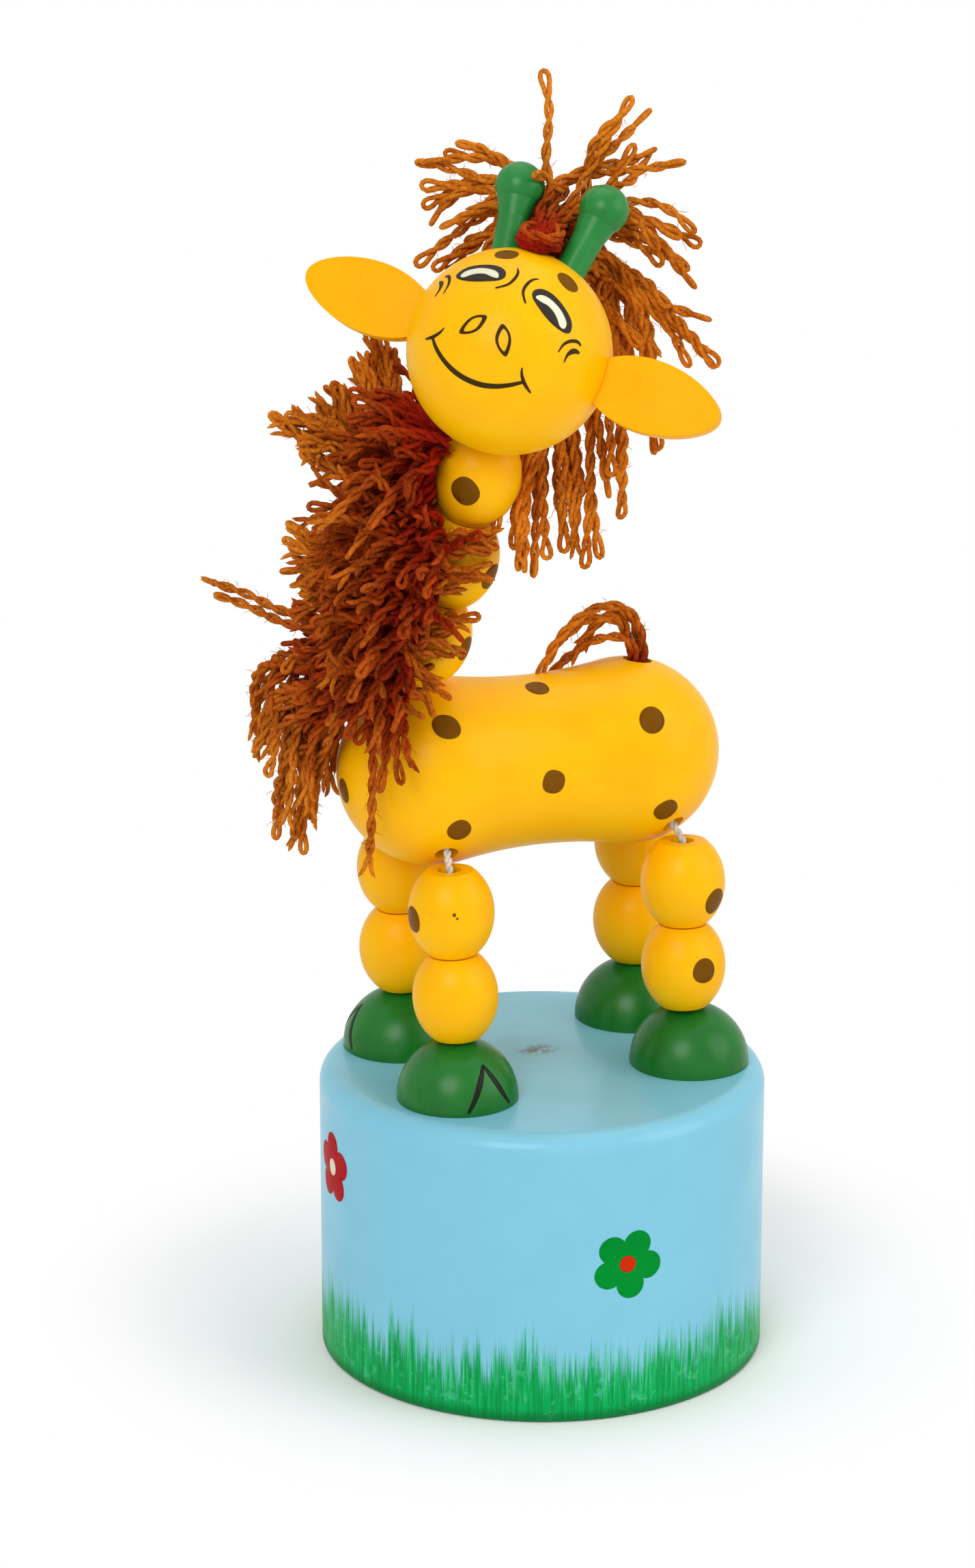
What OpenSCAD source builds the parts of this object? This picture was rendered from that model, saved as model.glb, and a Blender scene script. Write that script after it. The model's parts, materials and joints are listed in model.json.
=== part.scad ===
// Push puppet: a jointed wooden giraffe that stands on a drum and folds when its button is pressed
// All sizes in millimetres. +Z is up, the figure's head end points to -X.

/* [Drum] */
// Diameter of the drum
base_d = 50; // [46:0.5:60]
// Height of the drum
base_h = 33.2; // [30:0.2:42]
// Rounding of the drum's top edge
base_top_round = 2.2; // [0.6:0.1:3]
// Rounding of the drum's foot edge
base_foot_round = 0.5; // [0.2:0.1:1.5]
// Wall round the drum's cavity
base_wall = 4; // [3:0.1:5]
// Thickness of the drum's top
base_top_t = 7; // [5:0.1:8]

/* [Push button] */
// Gap between the button's rim and the cavity's wall
button_gap = 0.6; // [0.3:0.1:1]
// Thickness of the button
button_t = 5; // [3.5:0.1:6]
// Depth of the thumb recess under the button
recess_depth = 4.8; // [4.2:0.1:6]
// Rounding of the button's edges
button_round = 0.8; // [0.3:0.1:1.5]

/* [Spring] */
// Mean diameter of the spring
spring_d = 20; // [14:0.5:22]
// Wire diameter of the spring
spring_wire = 1; // [0.8:0.05:1.3]
// Number of turns of the spring
spring_turns = 5; // [4:1:6]
// Pitch of the closed end turns
spring_end_pitch = 1.6; // [1.5:0.05:2]
// Gap between the spring's ends and their seats
spring_seat_gap = 0.05; // [0.02:0.01:0.2]

/* [Cords] */
// Diameter of the pull cords
cord_d = 1; // [0.8:0.05:1.2]
// Diameter of the cord holes through the pieces
cord_hole_d = 2.6; // [2.2:0.1:3]
// Diameter of the knots under the button
knot_d = 3.2; // [2.8:0.1:4]
// Gap between each knot and the button
knot_gap = 0.05; // [0.02:0.01:0.2]

/* [Legs] */
// Distance of the front hooves' centres in from the drum's front
front_leg_inset = 11.9; // [11:0.1:13]
// Distance of the rear hooves' centres in from the drum's back
rear_leg_inset = 9.8; // [9:0.1:11]
// Half of the track between the front hooves
front_leg_y = 9.2; // [8.4:0.1:9.8]
// Half of the track between the rear hooves
rear_leg_y = 8.4; // [8:0.1:9]
// Sideways offset of the front legs on the drum
front_y = 0.9; // [-1:0.1:1.5]
// Sideways offset of the rear legs on the drum
rear_y = 2; // [-1:0.1:2.5]
// Forward slip of the rear left leg on its hoof
rear_slip_x = 1; // [0:0.1:1.2]
// Outward slip of the rear left leg on its hoof
rear_slip_y = 0.6; // [0:0.1:0.8]
// Radius of the hooves
hoof_r = 6.7; // [6:0.1:7]
// Height of the hoof dome's centre over its sole
hoof_rise = 0.1; // [0:0.05:0.8]
// Gap between a hoof's sole and the drum
sole_gap = 0.05; // [0.02:0.01:0.2]
// Largest radius of the leg beads
leg_bead_r = 4.7; // [4.2:0.1:5]
// Length of the leg beads
leg_bead_l = 9.4; // [8.5:0.1:10.5]
// Radius of the beads' flat ends
bead_flat_r = 2.6; // [2.2:0.1:3]
// Gap between neighbouring beads at rest
bead_gap = 0.15; // [0.1:0.05:0.3]
// Forward lean of the front legs in degrees
front_lean = 1.9; // [0:0.1:4]
// Forward lean of the rear legs in degrees
rear_lean = 0.3; // [-1:0.1:4]
// Inward lean of the front legs in degrees
front_lean_in = 2; // [0:0.1:5]
// Inward lean of the rear legs in degrees
rear_lean_in = 2; // [0:0.1:5]

/* [Trunk] */
// Radius of the trunk's two swells
bulge_r = 10.45; // [10.1:0.05:11]
// Radius of the trunk's waist
waist_r = 9.4; // [9:0.05:9.8]
// Setback of the front swell's centre behind the front hooves
front_bulge_set = 0.4; // [0:0.1:1]
// Distance of the rear swell's centre ahead of the rear hooves
rear_bulge_set = 4.8; // [4:0.1:6]
// Gap between the trunk and the pieces that it rests on
seat_gap = 0.3; // [0.2:0.05:0.5]

/* [Neck] */
// Largest radius of the neck beads
neck_bead_r = 4.6; // [4.2:0.1:5]
// Length of the neck beads
neck_bead_l = 9.5; // [8.5:0.1:10.5]
// Heading of the neck's lean, in degrees from +X
neck_heading = -56; // [-90:1:-30]
// Lean of the lowest neck bead in degrees
neck_lean_1 = 26.5; // [18:0.5:30]
// Lean of the middle neck bead in degrees
neck_lean_2 = 17; // [12:0.5:24]
// Lean of the top neck bead in degrees
neck_lean_3 = 17; // [10:0.5:22]
// Neck foot ahead of the front swell's centre
neck_foot_x = 2.6; // [0:0.1:4]
// Neck foot to the left of the front swell's centre
neck_foot_y = 1.3; // [-1:0.1:2.5]

/* [Head] */
// Radius of the head
head_r = 10.7; // [10:0.1:11.5]
// Offset of the head's centre from the neck cord
head_offset = 3.1; // [2.7:0.1:4]
// Heading of that offset, in degrees from +X
head_heading = -115; // [-130:1:-85]
// Turn of the face about the vertical in degrees
head_yaw = -33.5; // [-60:0.5:0]
// Upward tilt of the face in degrees
head_pitch = 22.3; // [10:0.5:30]
// Sideways roll of the head in degrees
head_roll = 13.3; // [0:0.5:25]
// Reach of the ears past the head's surface
ear_reach = 12.7; // [9:0.1:15]
// Width of the ears
ear_w = 7.6; // [6:0.1:9]
// Thickness of the ears
ear_t = 2; // [1.5:0.1:3]
// Upward tilt of the left ear in degrees
ear_tilt_left = 5; // [-8:0.5:12]
// Upward tilt of the right ear in degrees
ear_tilt_right = -2; // [-8:0.5:12]
// Diameter of the horn stems
horn_stem_d = 3.3; // [2.6:0.1:3.8]
// Diameter of the horn tips
horn_tip_d = 5.2; // [4.4:0.1:6]
// Length of a horn from the head's surface to its tip's centre
horn_l = 7.1; // [5:0.1:9]
// Height of the flare that joins the stem to the ball tip
horn_flare = 3.6; // [3:0.1:4.5]
// Width that the flare aims at in the middle of the ball tip
horn_flare_d = 4.8; // [3.4:0.1:5.1]
// Depth of the horn's hole in the head
horn_hole = 4; // [2.5:0.1:5]
// Gap between a horn and its hole
horn_fit = 0.03; // [0.01:0.01:0.1]
// Angle of the horns' roots from the crown in degrees
horn_spread = 19.6; // [16:0.2:26]
// Outward tilt of the horns in degrees
horn_splay = 8.9; // [4:0.2:16]
// Backward tilt of the horns in degrees
horn_back = 7.5; // [0:0.5:14]

/* [Yarn] */
// Diameter of the crown knot
crown_knot_d = 4; // [3.4:0.1:5]
// Gap between the yarn and the pieces that carry it
yarn_gap = 0.3; // [0.2:0.05:0.5]
// Radius of the mane's tufts
mane_r = 7.6; // [6:0.1:9]
// Distance of the mane's tufts from the neck beads' centres
mane_off = 8.2; // [7:0.1:10]
// Heading of the mane, in degrees from +X
mane_heading = 170; // [150:1:185]
// Radius of the mane's hanging end
mane_end_r = 5.4; // [4:0.1:6.5]
// Radius of the forelock
forelock_r = 7.5; // [6:0.1:9]
// Height of the forelock's centre over the head's centre
forelock_h = 15; // [13:0.1:17]
// Radius of the yarn that falls behind the head
fall_r = 6.2; // [5:0.1:7]
// Thickness of the tail
tail_d = 2.6; // [2:0.1:3.2]
// Radius of the tail's arch
tail_arch_r = 5.4; // [4.5:0.1:6.5]
// Distance of the tail's root ahead of the rear swell's centre
tail_x = -1.4; // [-2:0.1:2]
// Depth of the tail's hole in the trunk
tail_hole = 4; // [3:0.1:5]

/* [Hidden] */
$fn = 96;

base_r = base_d / 2;
cavity_r = base_r - base_wall;
ceiling_z = base_h - base_top_t;
button_r = cavity_r - button_gap;
button_top = recess_depth + button_t;
cord_r = cord_d / 2;
hole_r = cord_hole_d / 2;
knot_z = recess_depth - knot_gap - knot_d / 2;
front_leg_x = base_r - front_leg_inset;
rear_leg_x = base_r - rear_leg_inset;
front_bulge_x = front_leg_x - front_bulge_set;
rear_bulge_x = rear_leg_x - rear_bulge_set;

paint_yellow = "gold";
paint_green = "seagreen";
yarn_brown = "sienna";

function unit(v) = v / norm(v);
function cross_part(v, u) = v - (v * u) * u;

// Leg geometry: side is -1 for the left legs and 1 for the right ones
function leg_root(front, side) = [
  front ? -front_leg_x : rear_leg_x,
  (front ? front_y : rear_y) + side * (front ? front_leg_y : rear_leg_y),
  base_h + sole_gap + hoof_rise];
function leg_dir(front, side) =
  unit([-tan(front ? front_lean : rear_lean), -side * tan(front ? front_lean_in : rear_lean_in), 1]);
function leg_slip(front, side) = front || side > 0 ? [0, 0, 0] : [-rear_slip_x, -rear_slip_y, 0];
// Distance from the point c to a disc at t, square to u
function disc_dist(c, t, u, r) =
  let (w = c - t, a = w * u, q = max(norm(cross_part(w, u)) - r, 0)) sqrt(q * q + a * a);
// Height over c at which a disc clears a ball of radius r round c
function disc_z(c, t, u, r, lo, hi, n) =
  n == 0 ? hi :
  let (m = (lo + hi) / 2)
  disc_dist(c, t + [0, 0, m], u, bead_flat_r) > r
    ? disc_z(c, t, u, r, lo, m, n - 1) : disc_z(c, t, u, r, m, hi, n - 1);
function leg_foot(front, side) =
  let (c = leg_root(front, side), t = c + leg_slip(front, side))
  t + [0, 0, disc_z(c, t, leg_dir(front, side), hoof_r + bead_gap, 0, 2 * hoof_r, 40)];
lower_at = 0;
upper_at = leg_bead_l + bead_gap;
leg_end = upper_at + leg_bead_l;
function on_leg(front, side, s) = leg_foot(front, side) + s * leg_dir(front, side);

// Height of a swell's centre that leaves the seat gap over one upper bead's flat end
function seat_z(c, t, u, lo, hi, n) =
  n == 0 ? hi :
  let (m = (lo + hi) / 2)
  disc_dist([c[0], c[1], m], t, u, bead_flat_r) > bulge_r + seat_gap
    ? seat_z(c, t, u, lo, m, n - 1) : seat_z(c, t, u, m, hi, n - 1);
function bulge_c(front) =
  let (l = on_leg(front, -1, leg_end), r = on_leg(front, 1, leg_end),
    x = front ? -front_bulge_x : rear_bulge_x, c = [x, (l[1] + r[1]) / 2])
  [c[0], c[1], max(
    seat_z(c, l, leg_dir(front, -1), l[2], l[2] + 2 * bulge_r, 40),
    seat_z(c, r, leg_dir(front, 1), r[2], r[2] + 2 * bulge_r, 40))];
front_c = bulge_c(true);
rear_c = bulge_c(false);
trunk_mid = (front_c + rear_c) / 2;
trunk_half = norm(rear_c - front_c) / 2;
trunk_pitch = asin((front_c[2] - rear_c[2]) / norm(rear_c - front_c));
trunk_yaw = atan2(rear_c[1] - front_c[1], rear_c[0] - front_c[0]);
cord_meet = front_c;
function rear_turn(side) = rear_c + [0, side * cord_hole_d, 0];

// Neck geometry: u along a bead, e across it towards the lean
neck_d = [cos(neck_heading), sin(neck_heading), 0];
function neck_u(lean) = sin(lean) * neck_d + [0, 0, cos(lean)];
function neck_e(lean) = cos(lean) * neck_d - [0, 0, sin(lean)];
neck_leans = [neck_lean_1, neck_lean_2, neck_lean_3];
foot_p = front_c - [neck_foot_x, neck_foot_y, 0];
foot_z = disc_z(front_c, foot_p, neck_u(neck_lean_1), bulge_r + seat_gap, 0, 2 * bulge_r, 40);
// The rims on the closing side of two tilted beads keep the bead gap
function neck_low(i) =
  i == 0 ? foot_p + [0, 0, foot_z] :
  neck_top(i - 1) + bead_gap * neck_u(neck_leans[i - 1])
    + (neck_leans[i] > neck_leans[i - 1] ? -1 : 1) * bead_flat_r
    * (neck_e(neck_leans[i]) - neck_e(neck_leans[i - 1]));
function neck_top(i) = neck_low(i) + neck_bead_l * neck_u(neck_leans[i]);
function neck_mid(i) = (neck_low(i) + neck_top(i)) / 2;
head_u = neck_u(neck_lean_3);
head_o = unit(cross_part([cos(head_heading), sin(head_heading), 0], head_u));
head_rise = sqrt(pow(head_r + bead_gap, 2) - pow(max(head_offset - bead_flat_r, 0), 2));
head_c = neck_top(2) + head_rise * head_u + head_offset * head_o;
crown_p = neck_top(2) + (head_rise + sqrt(head_r * head_r - head_offset * head_offset)) * head_u;

// Places a child whose axis is Z at p, along the direction u
module along(p, u) {
  translate(p)
  rotate([0, acos(u[2] / norm(u)), atan2(u[1], u[0])])
  children();
}

// Places a child in the head's own frame: -Y is the face, +Z the crown
module in_head() {
  translate(head_c)
  rotate([0, 0, head_yaw])
  rotate([-head_pitch, 0, 0])
  rotate([0, head_roll, 0])
  children();
}

module rod(a, b, r) {
  along(a, b - a) cylinder(r = r, h = norm(b - a), $fn = 32);
}

// Barrel bead, centred: an oval of revolution with flat ends and a bore
module bead(r, l) {
  oval = l / 2 / sqrt(1 - pow(bead_flat_r / r, 2));
  rotate_extrude()
  intersection() {
    scale([1, oval / r]) circle(r = r, $fn = 180);
    translate([hole_r, -l / 2]) square([r, l]);
  }
}

module hoof(front, side) {
  p = leg_root(front, side) - [0, 0, hoof_rise];
  color(paint_green)
  translate(p)
  rotate_extrude()
  intersection() {
    translate([0, hoof_rise]) circle(r = hoof_r, $fn = 180);
    translate([hole_r, 0]) square([hoof_r, 2 * hoof_r]);
  }
}

module leg_bead(front, side, s) {
  color(paint_yellow)
  along(on_leg(front, side, s + leg_bead_l / 2), leg_dir(front, side))
  bead(leg_bead_r, leg_bead_l);
}

module base() {
  color("skyblue")
  difference() {
    rotate_extrude()
    difference() {
      union() {
        square([base_r - base_foot_round, base_h - base_top_round]);
        translate([0, base_foot_round])
          square([base_r, base_h - base_top_round - base_foot_round]);
        square([base_r - base_top_round, base_h]);
        translate([base_r - base_top_round, base_h - base_top_round])
          circle(r = base_top_round);
        translate([base_r - base_foot_round, base_foot_round])
          circle(r = base_foot_round);
      }
      translate([0, -1]) square([cavity_r, ceiling_z + 1]);
    }
    for (front = [true, false], side = [-1, 1]) {
      p = leg_root(front, side);
      translate([p[0], p[1], ceiling_z - 1])
        cylinder(r = hole_r, h = base_top_t + 2, $fn = 48);
    }
  }
}

module push_button() {
  color("burlywood")
  difference() {
    translate([0, 0, recess_depth])
    rotate_extrude()
    union() {
      square([button_r - button_round, button_t]);
      translate([0, button_round]) square([button_r, button_t - 2 * button_round]);
      translate([button_r - button_round, button_round]) circle(r = button_round);
      translate([button_r - button_round, button_t - button_round]) circle(r = button_round);
    }
    for (front = [true, false], side = [-1, 1]) {
      p = leg_root(front, side);
      translate([p[0], p[1], recess_depth - 1])
        cylinder(r = hole_r, h = button_t + 2, $fn = 48);
    }
  }
}

// Compression spring: one unbroken tube with closed end turns
spring_low = button_top + spring_seat_gap + spring_wire / 2;
spring_high = ceiling_z - spring_seat_gap - spring_wire / 2;
spring_steps = 24;
spring_n = spring_turns * spring_steps;
spring_free = spring_high - spring_low - 2 * spring_end_pitch;
function spring_z(t) =
  t < 1 ? spring_end_pitch * t :
  t > spring_turns - 1 ? spring_high - spring_low - spring_end_pitch * (spring_turns - t) :
  spring_end_pitch + spring_free * (t - 1) / (spring_turns - 2);
function spring_point(i) =
  let (a = 360 * i / spring_steps)
  [spring_d / 2 * cos(a), spring_d / 2 * sin(a), spring_low + spring_z(i / spring_steps)];
spring_sides = 8;
spring_ring = [for (i = [0 : spring_n], k = [0 : spring_sides - 1])
  let (a = 360 * i / spring_steps, f = 360 * k / spring_sides,
    r = spring_d / 2 + spring_wire / 2 * cos(f))
  [r * cos(a), r * sin(a), spring_point(i)[2] + spring_wire / 2 * sin(f)]];
function spring_q(i, k) = i * spring_sides + k % spring_sides;
spring_faces = concat(
  [for (i = [0 : spring_n - 1], k = [0 : spring_sides - 1])
    [spring_q(i, k), spring_q(i + 1, k), spring_q(i + 1, k + 1)]],
  [for (i = [0 : spring_n - 1], k = [0 : spring_sides - 1])
    [spring_q(i, k), spring_q(i + 1, k + 1), spring_q(i, k + 1)]],
  [for (k = [1 : spring_sides - 2]) [spring_q(0, 0), spring_q(0, k), spring_q(0, k + 1)]],
  [for (k = [1 : spring_sides - 2])
    [spring_q(spring_n, 0), spring_q(spring_n, k + 1), spring_q(spring_n, k)]]);
spring_least_gap = min([for (i = [0 : spring_n - spring_steps])
  norm(spring_point(i + spring_steps) - spring_point(i)) - spring_wire]);

module spring() {
  echo(spring_least_gap = spring_least_gap);
  color("silver")
  polyhedron(points = spring_ring, faces = spring_faces);
}

// One leg's stretch of a cord, from its knot under the button to the top of the upper bead
module leg_cord(front, side) {
  p = leg_root(front, side);
  translate([p[0], p[1], knot_z]) sphere(r = knot_d / 2, $fn = 48);
  q = (p + [0, 0, hoof_r] + leg_foot(front, side)) / 2;
  k = on_leg(front, side, upper_at);
  t = on_leg(front, side, leg_end);
  rod([p[0], p[1], knot_z], p, cord_r);
  translate(p) sphere(r = cord_r * 1.05, $fn = 32);
  rod(p, q, cord_r);
  translate(q) sphere(r = cord_r * 1.05, $fn = 32);
  rod(q, k, cord_r);
  translate(k) sphere(r = cord_r * 1.05, $fn = 32);
  rod(k, t, cord_r);
  translate(t) sphere(r = cord_r * 1.05, $fn = 32);
}

module front_cord() {
  n1 = (neck_top(0) + neck_low(1)) / 2;
  n2 = (neck_top(1) + neck_low(2)) / 2;
  color("ivory")
  union() {
    for (side = [-1, 1]) {
      leg_cord(true, side);
      rod(on_leg(true, side, leg_end), cord_meet, cord_r);
    }
    translate(cord_meet) sphere(r = cord_r * 1.1, $fn = 32);
    rod(cord_meet, neck_low(0), cord_r);
    translate(neck_low(0)) sphere(r = cord_r * 1.05, $fn = 32);
    rod(neck_low(0), n1, cord_r);
    translate(n1) sphere(r = cord_r * 1.05, $fn = 32);
    rod(n1, n2, cord_r);
    translate(n2) sphere(r = cord_r * 1.05, $fn = 32);
    rod(n2, neck_top(2), cord_r);
    translate(neck_top(2)) sphere(r = cord_r * 1.05, $fn = 32);
    rod(neck_top(2), crown_p - bead_gap * head_u, cord_r);
  }
}

module rear_cord() {
  color("ivory")
  union() {
    for (side = [-1, 1]) {
      leg_cord(false, side);
      rod(on_leg(false, side, leg_end), rear_turn(side), cord_r);
      translate(rear_turn(side)) sphere(r = cord_r * 1.05, $fn = 32);
    }
    rod(rear_turn(-1), rear_turn(1), cord_r);
  }
}

// Peanut-shaped trunk between its two swells, along X and centred
module peanut() {
  arc_r = (trunk_half * trunk_half + waist_r * waist_r - bulge_r * bulge_r) / (2 * (bulge_r - waist_r));
  share = arc_r / (arc_r + bulge_r);
  rotate([0, 90, 0])
  rotate_extrude($fn = 128)
  intersection() {
    translate([0, -2 * (trunk_half + bulge_r)])
      square([2 * bulge_r, 4 * (trunk_half + bulge_r)]);
    union() {
      translate([0, -trunk_half]) circle(r = bulge_r, $fn = 180);
      translate([0, trunk_half]) circle(r = bulge_r, $fn = 180);
      difference() {
        translate([0, -trunk_half * share])
          square([(waist_r + arc_r) * (1 - share), 2 * trunk_half * share]);
        translate([waist_r + arc_r, 0]) circle(r = arc_r, $fn = 360);
      }
    }
  }
}

tail_root = rear_c + [-tail_x, 0, sqrt(bulge_r * bulge_r - tail_x * tail_x)];

module trunk() {
  color(paint_yellow)
  difference() {
    translate(trunk_mid) rotate([0, trunk_pitch, trunk_yaw]) peanut();
    for (side = [-1, 1]) {
      rod(on_leg(true, side, leg_end - 1), on_leg(true, side, leg_end), hole_r);
      rod(on_leg(true, side, leg_end), cord_meet, hole_r);
      rod(on_leg(false, side, leg_end), rear_turn(side), hole_r);
    }
    translate(cord_meet) sphere(r = hole_r * 1.05, $fn = 48);
    rod(cord_meet, neck_low(0) + (neck_low(0) - cord_meet) * 0.1, hole_r);
    rod(rear_turn(-1), rear_turn(1), hole_r * 0.98);
    for (side = [-1, 1])
      translate(rear_turn(side)) sphere(r = hole_r * 1.05, $fn = 48);
    translate(tail_root - [0, 0, tail_hole]) cylinder(r = tail_d / 2 + yarn_gap, h = 2 * tail_hole);
  }
}

module neck_bead(i) {
  color(paint_yellow)
  along(neck_mid(i), neck_u(neck_leans[i]))
  bead(neck_bead_r, neck_bead_l);
}

function horn_root(side) = head_r * [side * sin(horn_spread), 0, cos(horn_spread)];
function horn_dir(side) =
  unit([side * sin(horn_splay), sin(horn_back) * cos(horn_splay), cos(horn_splay) * cos(horn_back)]);

module head() {
  color(paint_yellow)
  difference() {
    in_head() rotate([0, 0, 90]) sphere(r = head_r, $fn = 96);
    rod(neck_top(2), crown_p + head_r * head_u, hole_r);
    in_head()
    for (side = [-1, 1])
      along(horn_root(side) - horn_hole * horn_dir(side), horn_dir(side))
      cylinder(r = horn_stem_d / 2 + horn_fit, h = 2 * horn_hole, $fn = 48);
  }
}

// Turned horn: stem and ball tip in one piece
horn_end = horn_hole - horn_fit + horn_l;

module horn(side) {
  color(paint_green)
  in_head()
  along(horn_root(side) - (horn_hole - horn_fit) * horn_dir(side), horn_dir(side))
  rotate_extrude()
  union() {
    square([horn_stem_d / 2, horn_hole - horn_fit + horn_l]);
    polygon([
      [0, horn_end - horn_flare], [horn_stem_d / 2, horn_end - horn_flare],
      [horn_flare_d / 2, horn_end], [0, horn_end]]);
    intersection() {
      translate([0, horn_hole - horn_fit + horn_l]) circle(r = horn_tip_d / 2);
      translate([0, horn_hole]) square([horn_tip_d, horn_l + horn_tip_d]);
    }
  }
}

// Leaf outline of an ear: root at x = 0, widest past the middle, round tip
ear_root_x = head_r - ear_w / 4;
ear_len = head_r + ear_reach - ear_root_x;
ear_n = 36;
function ear_half(t) = ear_w / 2 * sqrt(sin(180 * pow(t, 0.9)));
ear_points = concat(
  [for (i = [0 : ear_n]) [ear_len * (1 - cos(180 * i / ear_n)) / 2, ear_half((1 - cos(180 * i / ear_n)) / 2)]],
  [for (i = [ear_n - 1 : -1 : 1])
    [ear_len * (1 - cos(180 * i / ear_n)) / 2, -ear_half((1 - cos(180 * i / ear_n)) / 2)]]);

module ear(side) {
  color(paint_yellow)
  difference() {
    in_head()
    mirror([side < 0 ? 1 : 0, 0, 0])
    rotate([0, side < 0 ? -ear_tilt_left : -ear_tilt_right, 0])
    translate([ear_root_x, ear_t / 2, 0])
    rotate([90, 0, 0])
    linear_extrude(height = ear_t)
    polygon(ear_points);
    translate(head_c) sphere(r = head_r, $fn = 128);
  }
}

module crown_knot() {
  color(yarn_brown)
  difference() {
    translate(crown_p + 0.3 * crown_knot_d * head_u) sphere(r = crown_knot_d / 2, $fn = 64);
    translate(head_c) sphere(r = head_r, $fn = 128);
  }
}

// Forelock over the crown and the yarn that falls behind the head, clear of horns and knot
forelock_back = forelock_r * 0.75;
module forelock() {
  color(yarn_brown)
  difference() {
    in_head()
    union() {
      translate([0, forelock_back, forelock_h]) sphere(r = forelock_r, $fn = 64);
      translate([fall_r * 0.6, head_r + fall_r * 0.35, fall_r * 0.6]) sphere(r = fall_r, $fn = 64);
      translate([fall_r * 0.3, head_r * 0.9, head_r]) sphere(r = fall_r, $fn = 64);
    }
    translate(head_c) sphere(r = head_r + yarn_gap, $fn = 128);
    translate(crown_p + 0.3 * crown_knot_d * head_u) sphere(r = crown_knot_d / 2 + yarn_gap, $fn = 64);
    in_head()
    for (side = [-1, 1])
      along(horn_root(side) - horn_hole * horn_dir(side), horn_dir(side))
      cylinder(r = horn_tip_d / 2 + yarn_gap, h = horn_hole + horn_l + horn_tip_d, $fn = 48);
  }
}

// Planes that part the mane's tufts: point and direction between neighbouring pieces
mane_dir = [cos(mane_heading), sin(mane_heading), 0];
mane_big = 8 * mane_r;
function mane_cut_u(i) =
  i == 0 ? unit(neck_u(neck_leans[0]) + neck_u(neck_leans[1])) :
  i == 1 ? unit(neck_u(neck_leans[1]) + neck_u(neck_leans[2])) : head_u;
function mane_cut_p(i) = i < 2 ? (neck_top(i) + neck_low(i + 1)) / 2 : neck_top(2) - yarn_gap * head_u;

// One tuft between the cut planes below and above it, clear of every bead
module mane_tuft(i) {
  difference() {
    children();
    along(mane_cut_p(i) - yarn_gap / 2 * mane_cut_u(i), mane_cut_u(i))
      cylinder(r = mane_big, h = mane_big, $fn = 48);
    if (i > 0)
      along(mane_cut_p(i - 1) + yarn_gap / 2 * mane_cut_u(i - 1), -mane_cut_u(i - 1))
        cylinder(r = mane_big, h = mane_big, $fn = 48);
    for (k = [0 : 2])
      translate(neck_mid(k)) sphere(r = norm([bead_flat_r, neck_bead_l / 2]) + yarn_gap, $fn = 64);
  }
}

module mane_upper() {
  color(yarn_brown)
  difference() {
    mane_tuft(2)
      translate(neck_mid(2) + mane_off * mane_dir) sphere(r = mane_r, $fn = 64);
    translate(head_c) sphere(r = head_r + yarn_gap, $fn = 64);
  }
}

module mane_middle() {
  color(yarn_brown)
  mane_tuft(1)
    translate(neck_mid(1) + mane_off * mane_dir) sphere(r = mane_r, $fn = 64);
}

module mane_lower() {
  color(yarn_brown)
  difference() {
    mane_tuft(0)
    union() {
      translate(neck_mid(0) + mane_off * mane_dir) sphere(r = mane_r, $fn = 64);
      translate(front_c + (bulge_r + 0.4 * mane_end_r) * mane_dir + [0, 0, mane_end_r])
        sphere(r = mane_end_r, $fn = 64);
      translate(front_c + (bulge_r + 0.5 * mane_end_r) * mane_dir - [0, 0, mane_end_r * 0.5])
        sphere(r = mane_end_r * 0.85, $fn = 64);
    }
    translate(trunk_mid) rotate([0, trunk_pitch, trunk_yaw]) {
      translate([-trunk_half, 0, 0]) sphere(r = bulge_r + yarn_gap, $fn = 128);
      rotate([0, 90, 0]) cylinder(r = bulge_r + yarn_gap, h = 2 * trunk_half, center = true);
    }
  }
}

// Tail: a stub in its hole, and an arch forward to just over the back
module tail() {
  color(yarn_brown)
  translate(tail_root)
  union() {
    translate([0, 0, yarn_gap - tail_hole]) cylinder(r = tail_d / 2, h = tail_hole);
    translate([-tail_arch_r, 0, yarn_gap])
      rotate([90, 0, 0])
      rotate_extrude(angle = 160)
      translate([tail_arch_r, 0]) circle(r = tail_d / 2 * 1.02);
  }
}

module hoof_fl() { hoof(true, -1); }
module hoof_fr() { hoof(true, 1); }
module hoof_rl() { hoof(false, -1); }
module hoof_rr() { hoof(false, 1); }
module lower_bead_fl() { leg_bead(true, -1, lower_at); }
module lower_bead_fr() { leg_bead(true, 1, lower_at); }
module lower_bead_rl() { leg_bead(false, -1, lower_at); }
module lower_bead_rr() { leg_bead(false, 1, lower_at); }
module upper_bead_fl() { leg_bead(true, -1, upper_at); }
module upper_bead_fr() { leg_bead(true, 1, upper_at); }
module upper_bead_rl() { leg_bead(false, -1, upper_at); }
module upper_bead_rr() { leg_bead(false, 1, upper_at); }
module neck_bead_1() { neck_bead(0); }
module neck_bead_2() { neck_bead(1); }
module neck_bead_3() { neck_bead(2); }
module ear_left() { ear(-1); }
module ear_right() { ear(1); }
module horn_left() { horn(-1); }
module horn_right() { horn(1); }

base();
push_button();
spring();
front_cord();
rear_cord();
hoof_fl();
hoof_fr();
hoof_rl();
hoof_rr();
lower_bead_fl();
lower_bead_fr();
lower_bead_rl();
lower_bead_rr();
upper_bead_fl();
upper_bead_fr();
upper_bead_rl();
upper_bead_rr();
trunk();
neck_bead_1();
neck_bead_2();
neck_bead_3();
head();
ear_left();
ear_right();
horn_left();
horn_right();
crown_knot();
forelock();
mane_upper();
mane_middle();
mane_lower();
tail();
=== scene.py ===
import json
import random
from math import cos, hypot, pi, radians, sin, sqrt, tau

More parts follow.
